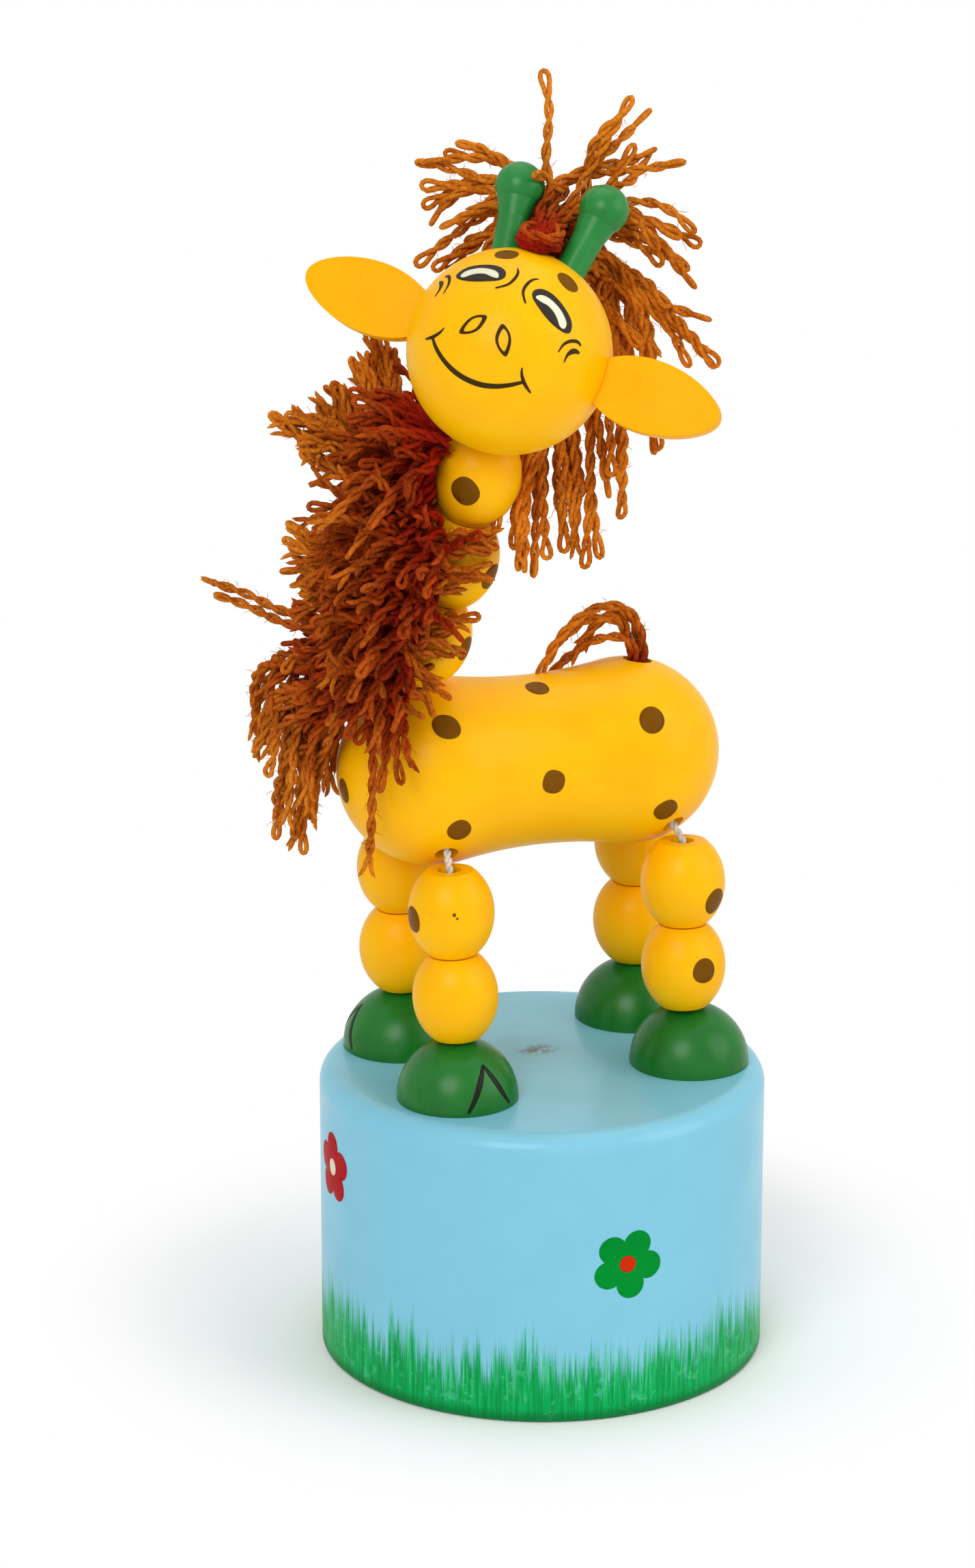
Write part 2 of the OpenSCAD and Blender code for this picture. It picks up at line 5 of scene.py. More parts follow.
import bpy
from bpy.props import FloatProperty, FloatVectorProperty, IntProperty, PointerProperty
from bpy.types import Operator, Panel, PropertyGroup
from mathutils import Euler, Matrix, Vector

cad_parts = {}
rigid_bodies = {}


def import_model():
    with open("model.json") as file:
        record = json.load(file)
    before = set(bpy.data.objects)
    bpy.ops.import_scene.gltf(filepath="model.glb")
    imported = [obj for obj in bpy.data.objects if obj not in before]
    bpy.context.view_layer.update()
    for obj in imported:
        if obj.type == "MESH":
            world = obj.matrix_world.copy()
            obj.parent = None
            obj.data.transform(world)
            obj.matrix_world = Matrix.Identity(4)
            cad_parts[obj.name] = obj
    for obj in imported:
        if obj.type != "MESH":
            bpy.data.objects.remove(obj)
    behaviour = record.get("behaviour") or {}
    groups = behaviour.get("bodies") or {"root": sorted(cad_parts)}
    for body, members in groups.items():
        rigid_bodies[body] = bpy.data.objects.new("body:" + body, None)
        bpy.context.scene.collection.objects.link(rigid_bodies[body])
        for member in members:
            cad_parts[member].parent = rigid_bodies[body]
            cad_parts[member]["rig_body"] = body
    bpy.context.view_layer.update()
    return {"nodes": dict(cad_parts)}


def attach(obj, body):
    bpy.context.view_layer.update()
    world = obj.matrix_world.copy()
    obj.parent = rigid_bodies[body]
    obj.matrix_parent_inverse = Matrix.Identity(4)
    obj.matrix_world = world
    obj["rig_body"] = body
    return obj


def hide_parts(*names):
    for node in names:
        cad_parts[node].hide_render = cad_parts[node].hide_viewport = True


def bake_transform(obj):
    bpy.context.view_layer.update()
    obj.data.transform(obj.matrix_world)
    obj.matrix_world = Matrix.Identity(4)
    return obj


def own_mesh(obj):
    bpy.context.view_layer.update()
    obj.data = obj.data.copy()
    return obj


bl_info = {
    "name": "Push Puppet Giraffe",
    "version": (1, 0, 0),
    "blender": (4, 5, 0),
    "location": "3D View > Sidebar > Puppet",
    "description": "Paint, yarn, cords and stage of a jointed wooden push puppet",
    "category": "Object",
}

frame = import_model()
NODES = frame["nodes"]
MM = 0.001
UP = Vector((0, 0, 1))
DOWN = Vector((0, 0, -1))


def vectors(*rows):
    return [Vector(row) for row in rows]


# Places and sizes of the solids, in millimetres
HEAD = Vector((-9.303, -14.098, 116.751))
HEAD_R = 10.7
CROWN = Vector((-6.226, -13.853, 126.996))
NECK_UP = Vector((0.1635, -0.2424, 0.9563))
HORNS = (
    vectors((-8.05, -10.08, 126.59), (-5.67, -7.45, 132.74)),
    vectors((-2.58, -14.46, 125.06), (1.48, -13.17, 130.74)),
)
HORN_STEM_R = 1.65
HORN_TIP_R = 2.6
NECK_BEADS = (
    vectors((-15.3, -0.4, 79.488), (-12.93, -3.914, 87.99)),
    vectors((-12.803, -4.102, 88.524), (-11.25, -6.405, 97.609)),
    vectors((-11.225, -6.441, 97.753), (-9.672, -8.744, 106.838)),
)
NECK_BEAD_R = 4.6
CHEST = Vector((-12.7, 0.9, 67.977))
RUMP = Vector((10.4, 1.7, 67.816))
SWELL_R = 10.45
TAIL_ROOT = Vector((11.8, 1.7, 78.172))
LEG_BEAD_L = 9.4
# Each leg's middle on the drum, the lower bead's foot and the upper bead's top
LEGS = {
    "fl": vectors((-13.1, -8.3, 33.35), (-13.1, -8.3, 40.208), (-13.728, -7.639, 59.136)),
    "fr": vectors((-13.1, 10.1, 33.35), (-13.1, 10.1, 40.208), (-13.728, 9.439, 59.136)),
    "rl": vectors((15.2, -6.4, 33.35), (14.2, -7.0, 40.22), (14.101, -6.339, 59.158)),
    "rr": vectors((15.2, 10.4, 33.35), (15.2, 10.4, 40.204), (15.101, 9.739, 59.143)),
}
HOOF_R = 6.7
DRUM_R = 25.0
DRUM_H = 33.2
BUTTON_TOP = 9.8
CEILING = 26.2

# The stage camera and its picture
CAMERA_AT = Vector((-166.52, -433.80, 201.63))
CAMERA_TURN = (radians(73.65), 0.0, radians(-20.245))
LENS = 67.18
SENSOR = 24.0
PICTURE = (1428, 2296)

# Yarn's distance from the wood, share of strands that end in a loop, radius of a thread's closed end and
# radii along its frayed end, as shares of its own, and the range of a turn left to chance
CLEAR = 0.75
LOOPED = 0.6
CLOSED = 0.05
FRAYED = [1.0, 0.95, 0.8, CLOSED]
ANY_ANGLE = (0, 6.28)


def tint(red, green, blue):
    """Linear colour of an 8-bit one"""
    def linear(value):
        value /= 255
        return value / 12.92 if value <= 0.04045 else ((value + 0.055) / 1.055) ** 2.4
    return (linear(red), linear(green), linear(blue), 1.0)


GREY = (0.5, 0.5, 0.5, 1)
WHITE = (1, 1, 1, 1)
BEECH = tint(222, 188, 140)
GRAIN = (900, 900, 90)


def darker(shade, share):
    return tuple(value * share for value in shade[:3]) + (1,)


# Settings

def colour(text, red, green, blue):
    return FloatVectorProperty(
        description=text, subtype="COLOR", size=4, min=0, max=1, default=tint(red, green, blue))


def length(text, millimetres):
    return FloatProperty(description=text, unit="LENGTH", default=millimetres * MM, min=0)


def power(text, watts):
    return FloatProperty(description=text, unit="POWER", default=watts)


def whole(text, value, least=1):
    return IntProperty(description=text, default=value, min=least)


class PuppetPaint(PropertyGroup):
    yellow: colour("Paint of the beads, trunk and head", 255, 190, 0)
    yellow_deep: colour("Mottling of the yellow paint", 253, 178, 0)
    ear: colour("Paint of the ears", 252, 178, 0)
    ear_deep: colour("Mottling of the ears' paint", 247, 168, 0)
    spot: colour("Brown dots on the yellow wood", 122, 76, 4)
    green: colour("Paint of the hooves", 24, 116, 36)
    green_deep: colour("Mottling of the green paint", 14, 94, 28)
    horn: colour("Paint of the horns", 34, 132, 56)
    horn_deep: colour("Mottling of the horns' paint", 24, 114, 46)
    blue: colour("Sky paint of the drum", 128, 200, 223)
    blue_deep: colour("Mottling of the sky paint", 124, 196, 220)
    grass: colour("Brushed grass round the drum's foot", 0, 176, 92)
    grass_deep: colour("Shade between the grass strokes", 0, 146, 68)
    line: colour("Drawn lines of the face", 62, 46, 14)
    eye: colour("Dark of the eyes", 58, 50, 46)
    eye_white: colour("Pale crescent of the eyes", 238, 238, 208)
    flower_red: colour("Red petals", 184, 18, 26)
    flower_green: colour("Green petals", 0, 142, 48)
    flower_heart: colour("Heart of the green flower", 206, 46, 8)
    film: length("Thickness of a painted mark", 0.02)


class PuppetYarn(PropertyGroup):
    # Root colours are darker and redder than tip colours: partly the yarn's dye, partly painted shade of the
    # yarn's depths near the wood
    tip: colour("Lit fibres towards a strand's tip", 228, 138, 34)
    tip_deep: colour("Dark fibres towards a strand's tip", 162, 74, 3)
    root: colour("Lit fibres at a strand's root", 172, 22, 0)
    root_deep: colour("Dark fibres at a strand's root", 96, 6, 0)
    ply: length("Radius of each of the two plies", 0.28)
    spread: length("Distance of a ply from the strand's middle", 0.29)
    pitch: length("Length of one full twist", 4.4)
    step: length("Distance between points along a strand", 0.5)
    hair: length("Radius of a loose fibre", 0.035)
    tuft: whole("Strands tied at each neck bead", 220)
    seed: whole("Seed of the yarn's disorder", 7)


class PuppetCord(PropertyGroup):
    white: colour("Cotton of the pull cords", 236, 232, 220)
    grey: colour("Worn cotton of the pull cords", 196, 188, 172)
    ply: length("Radius of each of the two plies", 0.25)
    wire: length("Radius of the spring's wire", 0.5)
    coil: length("Mean radius of the spring", 10.0)
    turns: whole("Turns of the spring", 5, 3)


class PuppetStage(PropertyGroup):
    key: power("Power of the left lamp", 2.6)
    fill: power("Power of the right lamp", 1.7)
    top: power("Power of the lamp overhead", 1.45)
    sky: FloatProperty(description="Strength of the white surroundings", default=0.48)
    floor: colour("Colour of the floor near the puppet", 250, 251, 251)


# Objects and edit mode

def deselect():
    if bpy.context.object and bpy.context.object.mode != "OBJECT":
        bpy.ops.object.mode_set(mode="OBJECT")
    bpy.ops.object.select_all(action="DESELECT")


def activate(obj):
    deselect()
    obj.select_set(True)
    bpy.context.view_layer.objects.active = obj


def edit_all(obj):
    activate(obj)
    bpy.ops.object.mode_set(mode="EDIT")
    bpy.ops.mesh.select_all(action="SELECT")


def link(name, data):
    obj = bpy.data.objects.new(name, data)
    bpy.context.scene.collection.objects.link(obj)
    return obj


def to_mesh(name, curve):
    activate(link(name, curve))
    bpy.ops.object.convert(target="MESH")
    return bpy.context.object


def modify(obj, kind, **settings):
    modifier = obj.modifiers.new(kind.title(), kind)
    for key, value in settings.items():
        setattr(modifier, key, value)


def apply_all(obj):
    activate(obj)
    for modifier in list(obj.modifiers):
        bpy.ops.object.modifier_apply(modifier=modifier.name)


def freeze(obj):
    """Puts an object's place into its mesh"""
    activate(obj)
    bpy.ops.object.transform_apply(location=True, rotation=True, scale=True)


def dress(obj, material):
    obj.data.materials.clear()
    obj.data.materials.append(material)


def settle(obj, name, material, body=None, smooth=True):
    """Names and dresses an object and lets it ride on its body"""
    freeze(obj)
    if smooth:
        bpy.ops.object.shade_smooth()
    obj.name = obj.data.name = name
    dress(obj, material)
    if body:
        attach(obj, body)
    return obj


def join(objs):
    activate(objs[0])
    for obj in objs[1:]:
        obj.select_set(True)
    if len(objs) > 1:
        bpy.ops.object.join()
    return objs[0]


# Shader nodes

def feed(tree, value, socket):
    if isinstance(value, bpy.types.NodeSocket):
        tree.links.new(value, socket)
    else:
        socket.default_value = value


def feed_all(tree, node, values):
    for key, value in values.items():
        feed(tree, value, node.inputs[key])


def put(tree, kind, inputs=None, **settings):
    node = tree.nodes.new("ShaderNode" + kind)
    for key, value in settings.items():
        setattr(node, key, value)
    feed_all(tree, node, inputs or {})
    return node


def here(tree):
    return put(tree, "TexCoord").outputs["Object"]


def calc(tree, operation, a, b=0.0, clamp=False):
    return put(tree, "Math", {0: a, 1: b}, operation=operation, use_clamp=clamp).outputs[0]


def plus(tree, a, b, clamp=False):
    return calc(tree, "ADD", a, b, clamp)


def times(tree, a, b):
    return calc(tree, "MULTIPLY", a, b)


def off_origin(tree, place):
    return put(tree, "VectorMath", {0: place}, operation="LENGTH").outputs["Value"]


def mixed(tree, factor, a, b):
    return put(tree, "Mix", {0: factor, 6: a, 7: b}, data_type="RGBA").outputs[2]


def ramp(tree, value, low, high):
    """Smooth step of a value from low to high"""
    return put(tree, "MapRange", {0: value, 1: low, 2: high}, interpolation_type="SMOOTHSTEP").outputs[0]


def noise(tree, place, scale, detail=2.0, roughness=0.5):
    values = {"Vector": place, "Scale": scale, "Detail": detail, "Roughness": roughness}
    return put(tree, "TexNoise", values).outputs[0]


def streaks(tree, place, scale, detail, roughness):
    """Noise with a scale of its own along each axis"""
    drawn = put(tree, "Mapping", {"Vector": place, "Scale": scale}).outputs[0]
    return noise(tree, drawn, 1.0, detail, roughness)


def new_group(name, inputs, outputs):
    group = bpy.data.node_groups.new(name, "ShaderNodeTree")
    for label, kind, default in inputs:
        socket = group.interface.new_socket(label, in_out="INPUT", socket_type="NodeSocket" + kind)
        socket.default_value = default
    for label, kind in outputs:
        group.interface.new_socket(label, in_out="OUTPUT", socket_type="NodeSocket" + kind)
    return group, group.nodes.new("NodeGroupInput").outputs, group.nodes.new("NodeGroupOutput").inputs


def painted_wood():
    """Brushed paint over turned wood: mottled colour, faint grain, uneven gloss"""
    if "Painted wood" in bpy.data.node_groups:
        return bpy.data.node_groups["Painted wood"]
    tree, given, out = new_group(
        "Painted wood",
        (("Paint", "Color", GREY), ("Deep", "Color", GREY), ("Grain", "Vector", GRAIN),
         ("Gloss", "Float", 0.3), ("Wear", "Float", 0.3)),
        (("Color", "Color"), ("Roughness", "Float"), ("Height", "Float")))
    place = here(tree)
    cloud = noise(tree, place, scale=170.0, detail=3.0)
    grain = streaks(tree, place, given["Grain"], detail=4.0, roughness=0.65)
    peel = noise(tree, place, scale=900.0)
    speck = noise(tree, place, scale=620.0, detail=6.0, roughness=0.8)
    mottled = times(tree, ramp(tree, cloud, 0.38, 0.66), 0.5)
    worn = times(tree, ramp(tree, grain, 0.42, 0.7), given["Wear"])
    paint = mixed(tree, plus(tree, mottled, worn, True), given["Paint"], given["Deep"])
    dust = times(tree, ramp(tree, speck, 0.7, 0.76), given["Wear"])
    uneven = times(tree, calc(tree, "SUBTRACT", cloud, 0.5), 0.35)
    feed(tree, mixed(tree, dust, paint, (0.12, 0.07, 0.02, 1)), out["Color"])
    feed(tree, plus(tree, uneven, given["Gloss"], True), out["Roughness"])
    feed(tree, plus(tree, times(tree, peel, 0.7), times(tree, grain, 0.5)), out["Height"])
    return tree


def fibres():
    """Fine fibres of yarn and cotton"""
    if "Fibres" in bpy.data.node_groups:
        return bpy.data.node_groups["Fibres"]
    tree, given, out = new_group(
        "Fibres",
        (("Lit", "Color", GREY), ("Dark", "Color", GREY), ("Fineness", "Float", 2600.0),
         ("Patch", "Float", 260.0)),
        (("Color", "Color"), ("Height", "Float")))
    place = here(tree)
    hair = noise(tree, place, given["Fineness"], detail=3.0)
    blotch = noise(tree, place, given["Patch"])
    tone = plus(tree, times(tree, ramp(tree, hair, 0.3, 0.7), 0.55),
                times(tree, ramp(tree, blotch, 0.35, 0.65), 0.45), True)
    feed(tree, mixed(tree, tone, given["Dark"], given["Lit"]), out["Color"])
    feed(tree, hair, out["Height"])
    return tree


# Finishes

def finish(name, look):
    """The material of that name, made if need be from the shader's inputs that look gives"""
    material = bpy.data.materials.get(name)
    if material is None:
        material = bpy.data.materials.new(name)
        material.use_nodes = True
        tree = material.node_tree
        feed_all(tree, tree.nodes["Principled BSDF"], look(tree))
    return material


def bump(tree, height, deep, strength):
    return put(tree, "Bump", {"Height": height, "Distance": deep * MM, "Strength": strength}).outputs[0]


def paint_finish(name, paint, deep, grain=GRAIN, gloss=0.42, wear=0.18, coat=0.14, shine=0.06):
    def look(tree):
        values = {"Paint": paint, "Deep": deep, "Grain": grain, "Gloss": gloss, "Wear": wear}
        wood = put(tree, "Group", values, node_tree=painted_wood()).outputs
        return {"Base Color": wood["Color"], "Roughness": wood["Roughness"], "Specular IOR Level": shine,
                "Coat Weight": coat, "Coat Roughness": 0.28, "Normal": bump(tree, wood["Height"], 0.04, 0.3)}
    return finish(name, look)


def wool(tree):
    """Yarn paler and more orange towards the tip, darker and redder towards the root: partly its dye, partly
    painted shade where the strands crowd near the wood
    """
    yarn = bpy.context.scene.puppet_yarn
    out = ramp(tree, put(tree, "Attribute", attribute_name="tip").outputs["Fac"], 0.1, 0.85)
    values = {"Lit": mixed(tree, out, yarn.root, yarn.tip),
              "Dark": mixed(tree, out, yarn.root_deep, yarn.tip_deep)}
    hairs = put(tree, "Group", values, node_tree=fibres()).outputs
    return {"Base Color": hairs["Color"], "Roughness": 0.85, "Specular IOR Level": 0.1, "Sheen Weight": 0.08,
            "Sheen Tint": tint(255, 150, 50), "Normal": bump(tree, hairs["Height"], 0.12, 0.7)}


def cotton(tree):
    cord = bpy.context.scene.puppet_cord
    hairs = put(tree, "Group", {"Lit": cord.white, "Dark": cord.grey}, node_tree=fibres()).outputs
    return {"Base Color": hairs["Color"], "Roughness": 0.8, "Normal": bump(tree, hairs["Height"], 0.08, 0.6)}


def steel(tree):
    drawn = noise(tree, here(tree), scale=900.0, detail=3.0)
    return {"Base Color": mixed(tree, drawn, tint(150, 150, 152), tint(196, 196, 200)), "Metallic": 1.0,
            "Roughness": plus(tree, times(tree, drawn, 0.25), 0.2)}


def grass(tree, paint, place, height, brushed):
    """Where grass covers the drum's foot, and its colour"""
    clump = streaks(tree, place, (190, 190, 15), detail=3.0, roughness=0.6)
    blade = streaks(tree, place, (3600, 3600, 120), detail=3.0, roughness=0.6)
    tall = plus(tree, times(tree, ramp(tree, brushed, 0.2, 0.8), 6.5 * MM),
                times(tree, ramp(tree, clump, 0.3, 0.7), 3.6 * MM))
    feather = times(tree, calc(tree, "SUBTRACT", blade, 0.5), 9 * MM)
    reach = calc(tree, "SUBTRACT", plus(tree, tall, plus(tree, feather, 2.0 * MM)), height)
    look = mixed(tree, ramp(tree, blade, 0.36, 0.62), paint.grass_deep, paint.grass)
    pale = times(tree, ramp(tree, blade, 0.56, 0.68), ramp(tree, height, 1.5 * MM, 5 * MM))
    dab = ramp(tree, noise(tree, place, scale=700.0, detail=5.0, roughness=0.7), 0.54, 0.66)
    # Darker green over the lowest two millimetres, towards the floor
    foot = ramp(tree, height, 1.8 * MM, 0.5 * MM)
    for where, share, shade in (
            (pale, 0.65, tint(110, 214, 170)), (dab, 0.5, tint(84, 200, 150)), (foot, 0.7, tint(0, 104, 44))):
        look = mixed(tree, times(tree, where, share), look, shade)
    return ramp(tree, reach, -2.2 * MM, 2.4 * MM), look


def smear(tree, place):
    """Where the drum's top is dirty"""
    middle, scale = (0.46, 2.88, DRUM_H), (420, 600, 1000)
    shift = [-value * MM * factor for value, factor in zip(middle, scale)]
    near = put(tree, "Mapping", {"Vector": place, "Location": shift, "Scale": scale}).outputs[0]
    scuff = noise(tree, place, scale=900.0, detail=4.0)
    return times(tree, ramp(tree, off_origin(tree, near), 1.4, 0.15), ramp(tree, scuff, 0.34, 0.56))


def hollow(tree, place, height, wall=2, cover=1):
    """Where the drum's inside is"""
    flat = put(tree, "VectorMath", {0: place, 1: (1, 1, 0)}, operation="MULTIPLY").outputs[0]
    return times(tree, calc(tree, "LESS_THAN", off_origin(tree, flat), (DRUM_R - wall) * MM),
                 calc(tree, "LESS_THAN", height, (DRUM_H - cover) * MM))


def drum_paint(tree):
    """Sky paint with grass round the foot, a smear on top and bare wood inside"""
    paint = bpy.context.scene.puppet_paint
    values = {"Paint": paint.blue, "Deep": paint.blue_deep, "Gloss": 0.42, "Wear": 0.05}
    wood = put(tree, "Group", values, node_tree=painted_wood()).outputs
    place = here(tree)
    height = put(tree, "SeparateXYZ", {0: place}).outputs[2]
    brushed = streaks(tree, place, (2300, 2300, 60), detail=4.0, roughness=0.75)
    grown, blades = grass(tree, paint, place, height, brushed)
    look = mixed(tree, grown, wood["Color"], blades)
    look = mixed(tree, times(tree, smear(tree, place), 0.9), look, tint(84, 72, 54))
    bare = mixed(tree, ramp(tree, brushed, 0.3, 0.7), BEECH, tint(196, 156, 106))
    look = mixed(tree, hollow(tree, place, height), look, bare)
    coat = times(tree, calc(tree, "SUBTRACT", 1.0, grown), 0.4)
    return {"Base Color": look, "Roughness": wood["Roughness"], "Specular IOR Level": 0.1,
            "Coat Weight": coat, "Coat Roughness": 0.18}


# Painted marks

def ring(radius, count=40):
    turn = tau / count
    return [(radius * cos(i * turn), radius * sin(i * turn)) for i in range(count)]


def rounded(points, closed=True, cuts=5):
    """Catmull-Rom curve through points of any number of values"""
    count, found = len(points), []
    for i in range(count if closed else count - 1):
        near = [i - 1, i, i + 1, i + 2]
        near = [points[k % count] if closed else points[min(max(k, 0), count - 1)] for k in near]
        for cut in range(cuts):
            t = cut / cuts
            found.append(tuple(
                0.5 * (2 * b + (c - a) * t + (2 * a - 5 * b + 4 * c - d) * t * t
                       + (3 * b - a - 3 * c + d) * t ** 3)
                for a, b, c, d in zip(*near)))
    if not closed:
        found.append(tuple(points[-1]))
    return found


def through(points, cuts):
    """The same curve, open, through vectors"""
    return [Vector(point) for point in rounded([tuple(point) for point in points], False, cuts)]


def stroke(points, widths, bold=1.0):
    """Outline of a brush stroke: a line with a width at each point"""
    line = rounded([(x, y, w * bold) for (x, y), w in zip(points, widths)], False)
    sides = ([], [])
    for i, (x, y, w) in enumerate(line):
        a, b = line[max(i - 1, 0)], line[min(i + 1, len(line) - 1)]
        along = Vector((b[0] - a[0], b[1] - a[1])).normalized()
        for side, sign in zip(sides, (1, -1)):
            side.append((x - sign * along.y * w / 2, y + sign * along.x * w / 2))
    return sides[0][::-1] + sides[1]


def patch(name, outlines, cuts=4):
    """Fills outlines, in millimetres on a plane, as one fine flat mesh; an outline in another is a hole"""
    curve = bpy.data.curves.new(name, "CURVE")
    curve.dimensions = "2D"
    curve.fill_mode = "BOTH"
    for outline in outlines:
        spline = curve.splines.new("POLY")
        spline.points.add(len(outline) - 1)
        for point, (x, y) in zip(spline.points, outline):
            point.co = (x * MM, y * MM, 0, 1)
        spline.use_cyclic_u = True
    obj = to_mesh(name, curve)
    edit_all(obj)
    bpy.ops.mesh.remove_doubles(threshold=1e-6)
    bpy.ops.mesh.quads_convert_to_tris()
    bpy.ops.mesh.beautify_fill()
    bpy.ops.mesh.subdivide(number_cuts=cuts)
    deselect()
    return obj


def film(obj):
    """Gives a sheet the thickness of paint"""
    modify(obj, "SOLIDIFY", thickness=bpy.context.scene.puppet_paint.film, offset=1.0)
    apply_all(obj)


def lay_mark(obj, node, spot, turn=0.0, outward=None, lift=0.012, away=4):
    """Lays a flat patch on a CAD node at a spot, from some way outside, as a film of paint"""
    target = NODES[node]
    _, at, normal, _ = target.closest_point_on_mesh(Vector(spot) * MM)
    out = Vector(outward).normalized() if outward else normal
    up = UP if abs(out.z) < 0.9 else Vector((0, 1, 0))
    right = up.cross(out).normalized()
    basis = Matrix((right, out.cross(right), out)).transposed().to_4x4()
    obj.matrix_world = Matrix.Translation(at + out * away * MM) @ basis @ Matrix.Rotation(turn, 4, "Z")
    modify(obj, "SHRINKWRAP", target=target, wrap_method="PROJECT", use_project_z=True,
           use_negative_direction=True, use_positive_direction=False, offset=lift * MM)
    film(obj)
    freeze(obj)
    return obj


def blot(rng, radius, squeeze=1.0, count=36):
    """Outline of a dabbed dot"""
    wave = [rng.uniform(-0.03, 0.03) for _ in range(3)]
    points = []
    for i in range(count):
        angle = tau * i / count
        r = radius * (1 + sum(w * cos((k + 2) * angle + 9 * w) for k, w in enumerate(wave)))
        points.append((r * cos(angle) * squeeze, r * sin(angle)))
    return points


# Lines of yarn and cord

def polar(angle, radius=1.0, height=0.0):
    return Vector((radius * cos(angle), radius * sin(angle), height))


def level(heading):
    return polar(radians(heading))


def scatter(rng, size=1):
    return Vector([rng.gauss(0, size) for _ in range(3)])


def sighted(x, y, depth_of, back=0.0):
    """Point that the stage camera sees at a pixel, as far away as another point, or further back"""
    turn = Euler(CAMERA_TURN).to_matrix()
    focal = LENS / SENSOR * PICTURE[1]
    ray = turn @ Vector(((x - PICTURE[0] / 2) / focal, (PICTURE[1] / 2 - y) / focal, -1))
    far = (depth_of - CAMERA_AT).dot(turn @ DOWN) + back
    return CAMERA_AT + ray * far


def bezier(a, b, c, d, count=40):
    found = []
    for i in range(count + 1):
        t = i / count
        found.append(a * (1 - t) ** 3 + b * 3 * t * (1 - t) ** 2 + c * 3 * t * t * (1 - t) + d * t ** 3)
    return found


def clear_of(line, balls):
    """Pushes a line's points out of the wood"""
    kept = []
    for point in line:
        for centre, radius in balls:
            off = point - centre
            if off.length < radius:
                point = centre + off.normalized() * radius
        kept.append(point)
    return kept


def grow(root, aim, reach, droop, wander, rng, balls):
    """Middle line of a strand that leaves its root along aim, droops, sways and stays out of the wood"""
    step = bpy.context.scene.puppet_yarn.step / MM
    line, heading = [root.copy()], aim.normalized()
    sway = scatter(rng)
    swing, phase = rng.uniform(0.8, 2.0), rng.uniform(*ANY_ANGLE)
    for i in range(max(int(reach / step), 3)):
        bend = sway * wander * sin(phase + swing * i * step * 0.7)
        heading = (heading + (DOWN * droop + bend) * step).normalized()
        point = clear_of([line[-1] + heading * step], balls)[0]
        heading = ((point - line[-1]).normalized() + heading).normalized()
        line.append(point)
    return line


def resampled(line, step):
    """The same line in even steps"""
    found, left = [line[0]], step
    for a, b in zip(line, line[1:]):
        span = (b - a).length
        while span > 0 and left <= span:
            a = a.lerp(b, left / span)
            span = (b - a).length
            found.append(a)
            left = step
        left -= span
    return found if len(found) > 2 else [line[0], line[len(line) // 2], line[-1]]


def wavy(line, swing, rng):
    """The same line with a slow, uneven wave that its root doesn't have"""
    waves = [(scatter(rng, swing), rng.uniform(*ANY_ANGLE), turns) for turns in (8, 15)]
    found = []
    for i, point in enumerate(line):
        t = i / (len(line) - 1)
        for sway, phase, turns in waves:
            point = point + sway * sin(phase + turns * t) * min(3 * t, 1)
        found.append(point)
    return found


# Threads: each is a path, its radii and how near to the strand's tip its points are, which sets their painted
# root shade

def plain(path, thick=1.0):
    return path, [thick] * len(path), [0.0] * len(path)


def plies(line, spread, pitch, rng, looped, eye, fade=12.0, gone=0.0):
    """Threads of one strand: two twisted plies that join in a loop or fray at the end"""
    count, near = len(line), []
    side = scatter(rng)
    angle, out, back = rng.uniform(*ANY_ANGLE), [], []
    for i, point in enumerate(line):
        along = (line[min(i + 1, count - 1)] - line[max(i - 1, 0)]).normalized()
        side = (side - along * side.dot(along)).normalized()
        across = side * cos(angle) + along.cross(side) * sin(angle)
        out.append(point + across * spread)
        back.append(point - across * spread)
        # Nearness to the tip sets the painted shade towards the root
        near.append(min(gone / fade, 1.0))
        if i < count - 1:
            span = (line[i + 1] - point).length
            gone += span
            angle += tau * span / pitch
    tip = line[-1]
    if looped:
        long, wide = eye * rng.uniform(0.8, 1.25), eye * 0.4 * rng.uniform(0.8, 1.3)
        bow = []
        for i in range(1, 8):
            turn = pi * i / 8
            lean = spread + (wide - spread) * sin(turn) * 1.3
            bow.append(tip + along * long * sin(turn) + across * cos(turn) * lean)
        path = out + bow + back[::-1]
        radii = [CLOSED] + [1.0] * (len(path) - 2) + [CLOSED]
        return [(path, radii, near + [near[-1]] * len(bow) + near[::-1])]
    threads = []
    for path, sign in ((out, 1), (back, -1)):
        fan = across * sign + along.cross(across) * rng.uniform(-0.8, 0.8)
        ends = [tip + along * 0.4 * k + fan * (spread + 0.04 * k * k) for k in range(1, len(FRAYED) + 1)]
        radii = [CLOSED] + [1.0] * (len(path) - 1) + FRAYED
        threads.append((path + ends, radii, near + [near[-1]] * len(ends)))
    return threads


def fluff(lines, share, off_middle, rng, step, fade):
    """Loose fibres that stand off the strands"""
    hairs = []
    for line in lines:
        for i, (point, ahead) in enumerate(zip(line, line[1:])):
            if rng.random() > share:
                continue
            along = (ahead - point).normalized()
            aside = scatter(rng)
            out = (aside - along * aside.dot(along)).normalized()
            reach = rng.uniform(0.6, 1.5)
            start = point + out * off_middle
            middle = start + (out * 0.5 + along * rng.uniform(-0.5, 0.8)) * reach * 0.5
            bend = out * rng.uniform(-0.1, 0.7) + along * rng.uniform(-0.7, 0.9) + aside * 0.2
            # The loose fibres take the same painted shade towards the root
            near = min(i * step / fade, 1.0)
            hairs.append(([start, middle, middle + bend * reach * 0.5], [1.0, 0.9, 0.5], [near] * 3))
    return hairs


